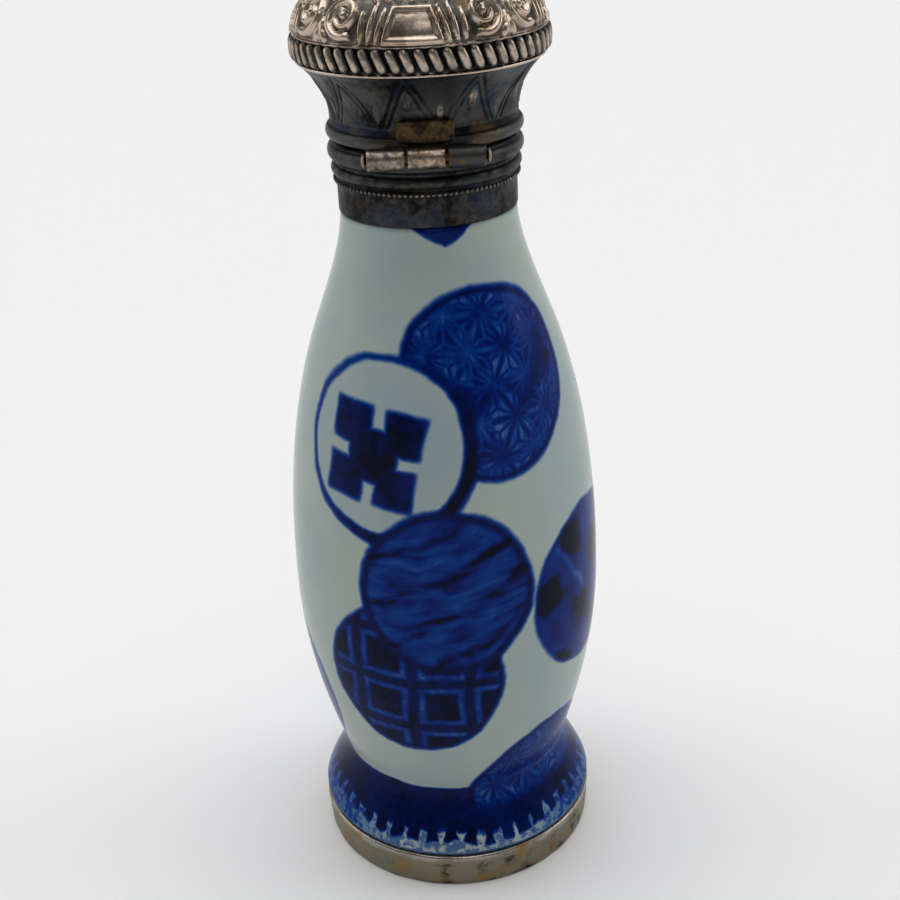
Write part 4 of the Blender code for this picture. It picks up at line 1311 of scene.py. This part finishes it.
class BOTTLE_OT_lid(bpy.types.Operator):
    """Turns the hollow silver lid and chases its dome and its flared side"""

    bl_idname = "perfume_bottle.lid"
    bl_label = "Lid"

    def execute(self, context):
        values = dict_of(context.scene.silver_values)
        material = metal_material("chased_silver", values)
        inside = lid_inside()
        outside = lid_outside()
        marks = [0] * len(inside) + [1] * len(outside)
        piece = turned("silver_lid", inside + outside, marks, values["lid_columns"], material)
        emboss(piece)
        place_piece(piece, "lid", "lid_silver", "lid")
        return {"FINISHED"}


class BOTTLE_OT_gadroons(bpy.types.Operator):
    """Sets the slanted gadroons round the rim of the lid"""

    bl_idname = "perfume_bottle.gadroons"
    bl_label = "Gadroons"

    def execute(self, context):
        values = dict_of(context.scene.silver_values)
        material = metal_material("gadroon_silver", values)
        ring = (10.10 * MM, (GADROON_FOOT + DOME_FOOT) / 2)
        size = (values["gadroon_width"], values["gadroon_depth"], values["gadroon_length"])
        slant = values["gadroon_slant"]
        piece = ring_of_lobes("gadroons", material, values["gadroon_count"], ring, size, 0.5, slant)
        place_piece(piece, "lid", "lid_silver")
        return {"FINISHED"}


def collar_outline():
    """The outside of the collar from its foot, then its bore from the top down."""
    radius = COLLAR_RADIUS
    top_radius = 7.7 * MM
    bore = 6.9 * MM
    ridge_foot = COLLAR_FOOT + 2.2 * MM
    ridge_height = 0.5 * MM
    lower_foot = ridge_foot + ridge_height + 0.2 * MM
    upper_foot = lower_foot + 0.9 * MM + 0.4 * MM
    edge = 0.12 * MM
    foot = NECK_TOP + TOUCH
    outside = arc(radius - edge, foot + edge, edge, edge, -90, 0, 4)
    for step in range(1, 8):
        outside.append((radius, foot + edge + (ridge_foot - foot - 2 * edge) * step / 8))
    outside += bead(radius, ridge_foot, ridge_height, 0.12 * MM, 6)
    outside += bead(radius, lower_foot, 0.9 * MM, 0.4 * MM)
    outside += bead(top_radius, upper_foot, 1.2 * MM, 0.4 * MM)
    outside += [(top_radius, COLLAR_TOP)]
    inside = [(bore, COLLAR_TOP), (bore, foot)]
    return outside, inside


class BOTTLE_OT_collar(bpy.types.Operator):
    """Turns the moulded silver collar"""

    bl_idname = "perfume_bottle.collar"
    bl_label = "Collar"

    def execute(self, context):
        values = dict_of(context.scene.silver_values)
        material = metal_material("collar_silver", values)
        outside, inside = collar_outline()
        marks = [1] * len(outside) + [0] * len(inside) + [1]
        piece = turned(
            "silver_collar", outside + inside + outside[:1], marks, values["collar_columns"], material
        )
        points = points_of(piece.data)
        radius = np.hypot(points[:, 0], points[:, 1])
        proud = np.clip((radius - COLLAR_RADIUS) / (0.5 * MM), 0, 1)
        set_relief(piece.data, np.where(outer_of(piece.data), 0.30 + proud * 0.10, 0.1))
        place_piece(piece, "bottle", "tarnished_silver", "neck_mount")
        return {"FINISHED"}


class BOTTLE_OT_bead_line(bpy.types.Operator):
    """Sets the line of small beads round the collar"""

    bl_idname = "perfume_bottle.bead_line"
    bl_label = "Bead line"

    def execute(self, context):
        values = dict_of(context.scene.silver_values)
        material = metal_material("bead_silver", values)
        ring = (7.62 * MM, COLLAR_FOOT + 2.45 * MM)
        size = (values["bead_size"],) * 3
        piece = ring_of_lobes("collar_beads", material, values["bead_count"], ring, size)
        place_piece(piece, "bottle", "tarnished_silver")
        return {"FINISHED"}


def wall_at(x, radius):
    """Where a round wall of this radius stands on the hinge side, at this distance from the middle."""
    return -math.sqrt(radius * radius - x * x)


def knuckle_section(x, inset, up, wall_radius):
    """One cross-section of a knuckle: its barrel, and its tongue back into the wall. Up is 1 or -1."""
    radius = HINGE_RADIUS - inset
    tongue_foot = HINGE_RADIUS * 0.345 + inset
    start = math.degrees(math.asin(tongue_foot / radius))
    section = []
    for step in range(33):
        angle = math.radians(90 + (270 + start) * step / 32)
        section.append((x, HINGE_Y + radius * math.cos(angle), HINGE_Z + up * radius * math.sin(angle)))
    end = wall_at(x, wall_radius)
    section.append((x, end, HINGE_Z + up * tongue_foot))
    section.append((x, end, HINGE_Z + up * radius))
    return section


def skin(build, rings):
    """Adds the faces between each closed ring of points and the next."""
    for first, second in zip(rings, rings[1:]):
        for place in range(len(first)):
            after = (place + 1) % len(first)
            build.faces.new((first[place], first[after], second[after], second[place]))


def bored_prism(build, sections, bore):
    """Adds a rod with these cross-sections to a bmesh, with a round bore along the hinge's axis."""
    rings = [[build.verts.new(point) for point in section] for section in sections]
    skin(build, rings)
    bore_rings = []
    for section in (sections[0], sections[-1]):
        ring = []
        for step in range(24):
            angle = 2 * math.pi * step / 24
            point = (section[0][0], HINGE_Y + bore * math.cos(angle), HINGE_Z + bore * math.sin(angle))
            ring.append(build.verts.new(point))
        bore_rings.append(ring)
    skin(build, bore_rings)
    for ring, hole in ((rings[0], bore_rings[0]), (rings[-1], bore_rings[1])):
        loops = [[vert.co.copy() for vert in ring], [vert.co.copy() for vert in hole]]
        flat = ring + hole
        for corners in tessellate_polygon(loops):
            build.faces.new([flat[corner] for corner in corners])


def knuckle(build, middle, up, wall_radius):
    """Adds a knuckle with softened edges, round this middle along the pin."""
    half = KNUCKLE_HALF
    soft = 0.10 * MM
    stations = [(-half, soft), (-half + soft * 0.3, soft * 0.3), (-half + soft, 0.0)]
    stations += [(half * step / 5, 0.0) for step in range(-4, 5)]
    stations += [(half - soft, 0.0), (half - soft * 0.3, soft * 0.3), (half, soft)]
    sections = [knuckle_section(middle + x, inset, up, wall_radius) for x, inset in stations]
    bored_prism(build, sections, KNUCKLE_BORE)


def fall_back(distance, radius):
    """How far a rounded edge of this radius falls back, at this distance in from it."""
    reach = radius - min(distance, radius)
    return radius - math.sqrt(max(radius**2 - reach**2, 0.0))


def leaf(build):
    """Adds the curved leaf over the middle knuckle, as rows of closed sections from its foot to its top."""
    foot = HINGE_Z + HINGE_RADIUS
    height = 1.8 * MM
    half = 2.3 * MM
    corner = 0.5 * MM
    inner = 7.42 * MM
    outer = 8.32 * MM
    soft = 0.12 * MM
    ups = [0, 0.02, 0.06, 0.12, 0.2, 0.28, 0.4, 0.5, 0.6, 0.72, 0.8, 0.88, 0.94, 0.98, 1.0]
    rings = []
    for share_up in ups:
        up = height * share_up
        edge = min(up, height - up)
        low = fall_back(edge, soft)
        wide = half - fall_back(edge, corner)
        ring = []
        for step in range(25):
            across = wide * (1 - 2 * step / 24)
            angle = across / outer
            radius = outer - max(fall_back(wide - abs(across), soft), low)
            ring.append((radius * math.sin(angle), -radius * math.cos(angle), foot + up))
        for step in range(25):
            angle = wide * (2 * step / 24 - 1) / outer
            ring.append((inner * math.sin(angle), -inner * math.cos(angle), foot + up))
        rings.append([build.verts.new(point) for point in ring])
    skin(build, rings)
    build.faces.new(rings[0])
    build.faces.new(rings[-1])


def built(name, build, material, relief):
    """The plain piece of a finished bmesh, with its faces turned outwards. Relief goes by x, y and z."""
    bmesh.ops.recalc_face_normals(build, faces=build.faces)
    mesh = bpy.data.meshes.new(name)
    build.to_mesh(mesh)
    build.free()
    mesh.materials.append(material)
    mesh.shade_smooth()
    mesh.set_sharp_from_angle(angle=math.radians(38))
    set_relief(mesh, relief(*points_of(mesh).T))
    return new_object(name, mesh)


class BOTTLE_OT_collar_knuckles(bpy.types.Operator):
    """Makes the two outer knuckles of the hinge, which are soldered to the collar"""

    bl_idname = "perfume_bottle.collar_knuckles"
    bl_label = "Collar knuckles"

    def execute(self, context):
        values = dict_of(context.scene.silver_values)
        material = metal_material("knuckle_silver", values)
        build = bmesh.new()
        for side in (-1, 1):
            knuckle(build, side * KNUCKLE_PITCH, -1, COLLAR_RADIUS - 0.2 * MM)
        piece = built("collar_knuckles", build, material, lambda x, y, z: np.where(x > 0, 0.42, 0.80))
        place_piece(piece, "bottle", "tarnished_silver")
        return {"FINISHED"}


class BOTTLE_OT_lid_leaf(bpy.types.Operator):
    """Makes the lid's own knuckle and the small curved leaf over it"""

    bl_idname = "perfume_bottle.lid_leaf"
    bl_label = "Lid leaf"

    def execute(self, context):
        values = dict_of(context.scene.silver_values)
        material = metal_material("leaf_silver", values)
        build = bmesh.new()
        knuckle(build, 0.0, 1, COLLAR_RADIUS - 0.1 * MM)
        leaf(build)
        barrel_top = HINGE_Z + HINGE_RADIUS * 0.98
        piece = built("lid_leaf", build, material, lambda x, y, z: np.where(z < barrel_top, 0.80, 0.22))
        place_piece(piece, "lid", "lid_silver")
        return {"FINISHED"}


class BOTTLE_OT_hinge_pin(bpy.types.Operator):
    """Turns the hinge's pin, with its two domed heads"""

    bl_idname = "perfume_bottle.hinge_pin"
    bl_label = "Hinge pin"

    def execute(self, context):
        values = dict_of(context.scene.foot_values)
        rod = 0.32 * MM
        head = 0.56 * MM
        head_length = 0.25 * MM
        reach = PIN_REACH - head_length
        outline = [(0.0, -PIN_REACH)]
        outline += arc(0.0, -reach, head, head_length, -80, 0, 7)
        outline += [(rod, -reach), (rod, 0.0), (rod, reach)]
        outline += arc(0.0, reach, head, head_length, 0, 80, 7)
        outline += [(0.0, PIN_REACH)]
        material = metal_material("pin_metal", values)
        piece = turned("pin_with_heads", outline, [1] * len(outline), 32, material)
        points = points_of(piece.data)
        along = np.column_stack([points[:, 2], points[:, 1] + HINGE_Y, HINGE_Z - points[:, 0]])
        move_points(piece.data, along)
        set_relief(piece.data, 0.6)
        place_piece(piece, "bottle", "pin_metal", "hinge_pin")
        return {"FINISHED"}


def soft_light(name, towards, spread, strength):
    """A far, wide light in this direction from the bottle. Spread is the angle that it fills, in degrees."""
    data = bpy.data.lights.new(name, "SUN")
    data.energy = strength
    data.angle = math.radians(spread)
    lamp = new_object(name, data)
    lamp.rotation_euler = (-Vector(towards)).to_track_quat("-Z", "Y").to_euler()


class BOTTLE_OT_stage(bpy.types.Operator):
    """Sets the pale floor, the soft light and the camera"""

    bl_idname = "perfume_bottle.stage"
    bl_label = "Stage"

    def execute(self, context):
        scene = context.scene
        values = dict_of(scene.stage_values)
        mesh = bpy.data.meshes.new("floor")
        reach = 6.0
        corners = [(-reach, -reach, 0), (reach, -reach, 0), (reach, reach, 0), (-reach, reach, 0)]
        mesh.from_pydata(corners, [], [(0, 1, 2, 3)])
        material, _, shader = new_material("pale_floor")
        shader.inputs["Base Color"].default_value = (*values["floor"], 1.0)
        shader.inputs["Roughness"].default_value = 0.85
        shader.inputs["Specular IOR Level"].default_value = 0.15
        mesh.materials.append(material)
        floor = new_object("floor", mesh)
        floor.location.z = -0.02 * MM
        world = bpy.data.worlds.new("soft_daylight")
        world.use_nodes = True
        sky = Sketch(world.node_tree)
        towards = sky.add("ShaderNodeTexCoord").outputs["Generated"]
        _, y, z = sky.parts(towards)
        low = z.smooth(0.45, 0.0)
        glow = low * values["horizon"] * sky.between(y.smooth(-0.7, 0.2), 0.25, 1.0)
        background = world.node_tree.nodes["Background"]
        background.inputs["Color"].default_value = (1.0, 1.0, 1.0, 1.0)
        sky.feed(background.inputs["Strength"], glow + values["daylight"])
        scene.world = world
        windows = values["windows"]
        soft_light("skylight", (0.0, 0.21, 0.98), 75.0, values["skylight"])
        soft_light("window_left", (-0.50, 0.10, 0.25), 38.0, windows * 0.7)
        soft_light("window_right", (0.50, 0.05, 0.23), 35.0, windows * 0.9)
        soft_light("window_front", (0.04, -0.38, 0.41), 12.0, windows * 0.2)
        camera_data = bpy.data.cameras.new("camera")
        camera_data.lens = values["lens"]
        camera_data.sensor_width = 36.0
        camera_data.clip_start = 0.01
        camera_data.clip_end = 20.0
        camera = new_object("camera", camera_data)
        roll, pitch, yaw = (
            Matrix.Rotation(math.radians(degrees), 3, axis) for degrees, axis in zip(CAMERA_TURN, "YXZ")
        )
        base = roll @ pitch @ yaw
        turn = Matrix((base.col[0], base.col[2], -base.col[1])).transposed()
        camera.matrix_world = Matrix.Translation(CAMERA_PLACE) @ turn.to_4x4()
        scene.camera = camera
        scene.view_settings.view_transform = "Standard"
        scene.view_settings.gamma = values["gamma"]
        return {"FINISHED"}


OPERATORS = (
    BOTTLE_OT_porcelain,
    BOTTLE_OT_foot_band,
    BOTTLE_OT_collar,
    BOTTLE_OT_bead_line,
    BOTTLE_OT_collar_knuckles,
    BOTTLE_OT_lid,
    BOTTLE_OT_gadroons,
    BOTTLE_OT_lid_leaf,
    BOTTLE_OT_hinge_pin,
    BOTTLE_OT_stage,
)


class BOTTLE_PT_panel(bpy.types.Panel):
    """Builds the bottle piece by piece"""

    bl_idname = "BOTTLE_PT_panel"
    bl_label = "Porcelain Perfume Bottle"
    bl_space_type = "VIEW_3D"
    bl_region_type = "UI"
    bl_category = "Perfume Bottle"

    def draw(self, context):
        scene = context.scene
        for label, values in (
            ("Porcelain", scene.porcelain_values),
            ("Silver", scene.silver_values),
            ("Foot band", scene.foot_values),
            ("Stage", scene.stage_values),
        ):
            box = self.layout.box()
            box.label(text=label)
            for name in values.__annotations__:
                box.prop(values, name)
        for operator in OPERATORS:
            self.layout.operator(operator.bl_idname)


GROUPS = {
    "porcelain_values": PorcelainValues,
    "silver_values": SilverValues,
    "foot_values": FootValues,
    "stage_values": StageValues,
}
CLASSES = (*GROUPS.values(), *OPERATORS, BOTTLE_PT_panel)


def register():
    for item in CLASSES:
        bpy.utils.register_class(item)
    for name, group in GROUPS.items():
        setattr(bpy.types.Scene, name, PointerProperty(type=group))


def unregister():
    for name in GROUPS:
        delattr(bpy.types.Scene, name)
    for item in reversed(CLASSES):
        bpy.utils.unregister_class(item)


def main():
    register()
    bpy.ops.perfume_bottle.porcelain()
    bpy.ops.perfume_bottle.foot_band()
    bpy.ops.perfume_bottle.collar()
    bpy.ops.perfume_bottle.bead_line()
    bpy.ops.perfume_bottle.collar_knuckles()
    bpy.ops.perfume_bottle.lid()
    bpy.ops.perfume_bottle.gadroons()
    bpy.ops.perfume_bottle.lid_leaf()
    bpy.ops.perfume_bottle.hinge_pin()
    bpy.ops.perfume_bottle.stage()


if __name__ == "__main__":
    main()
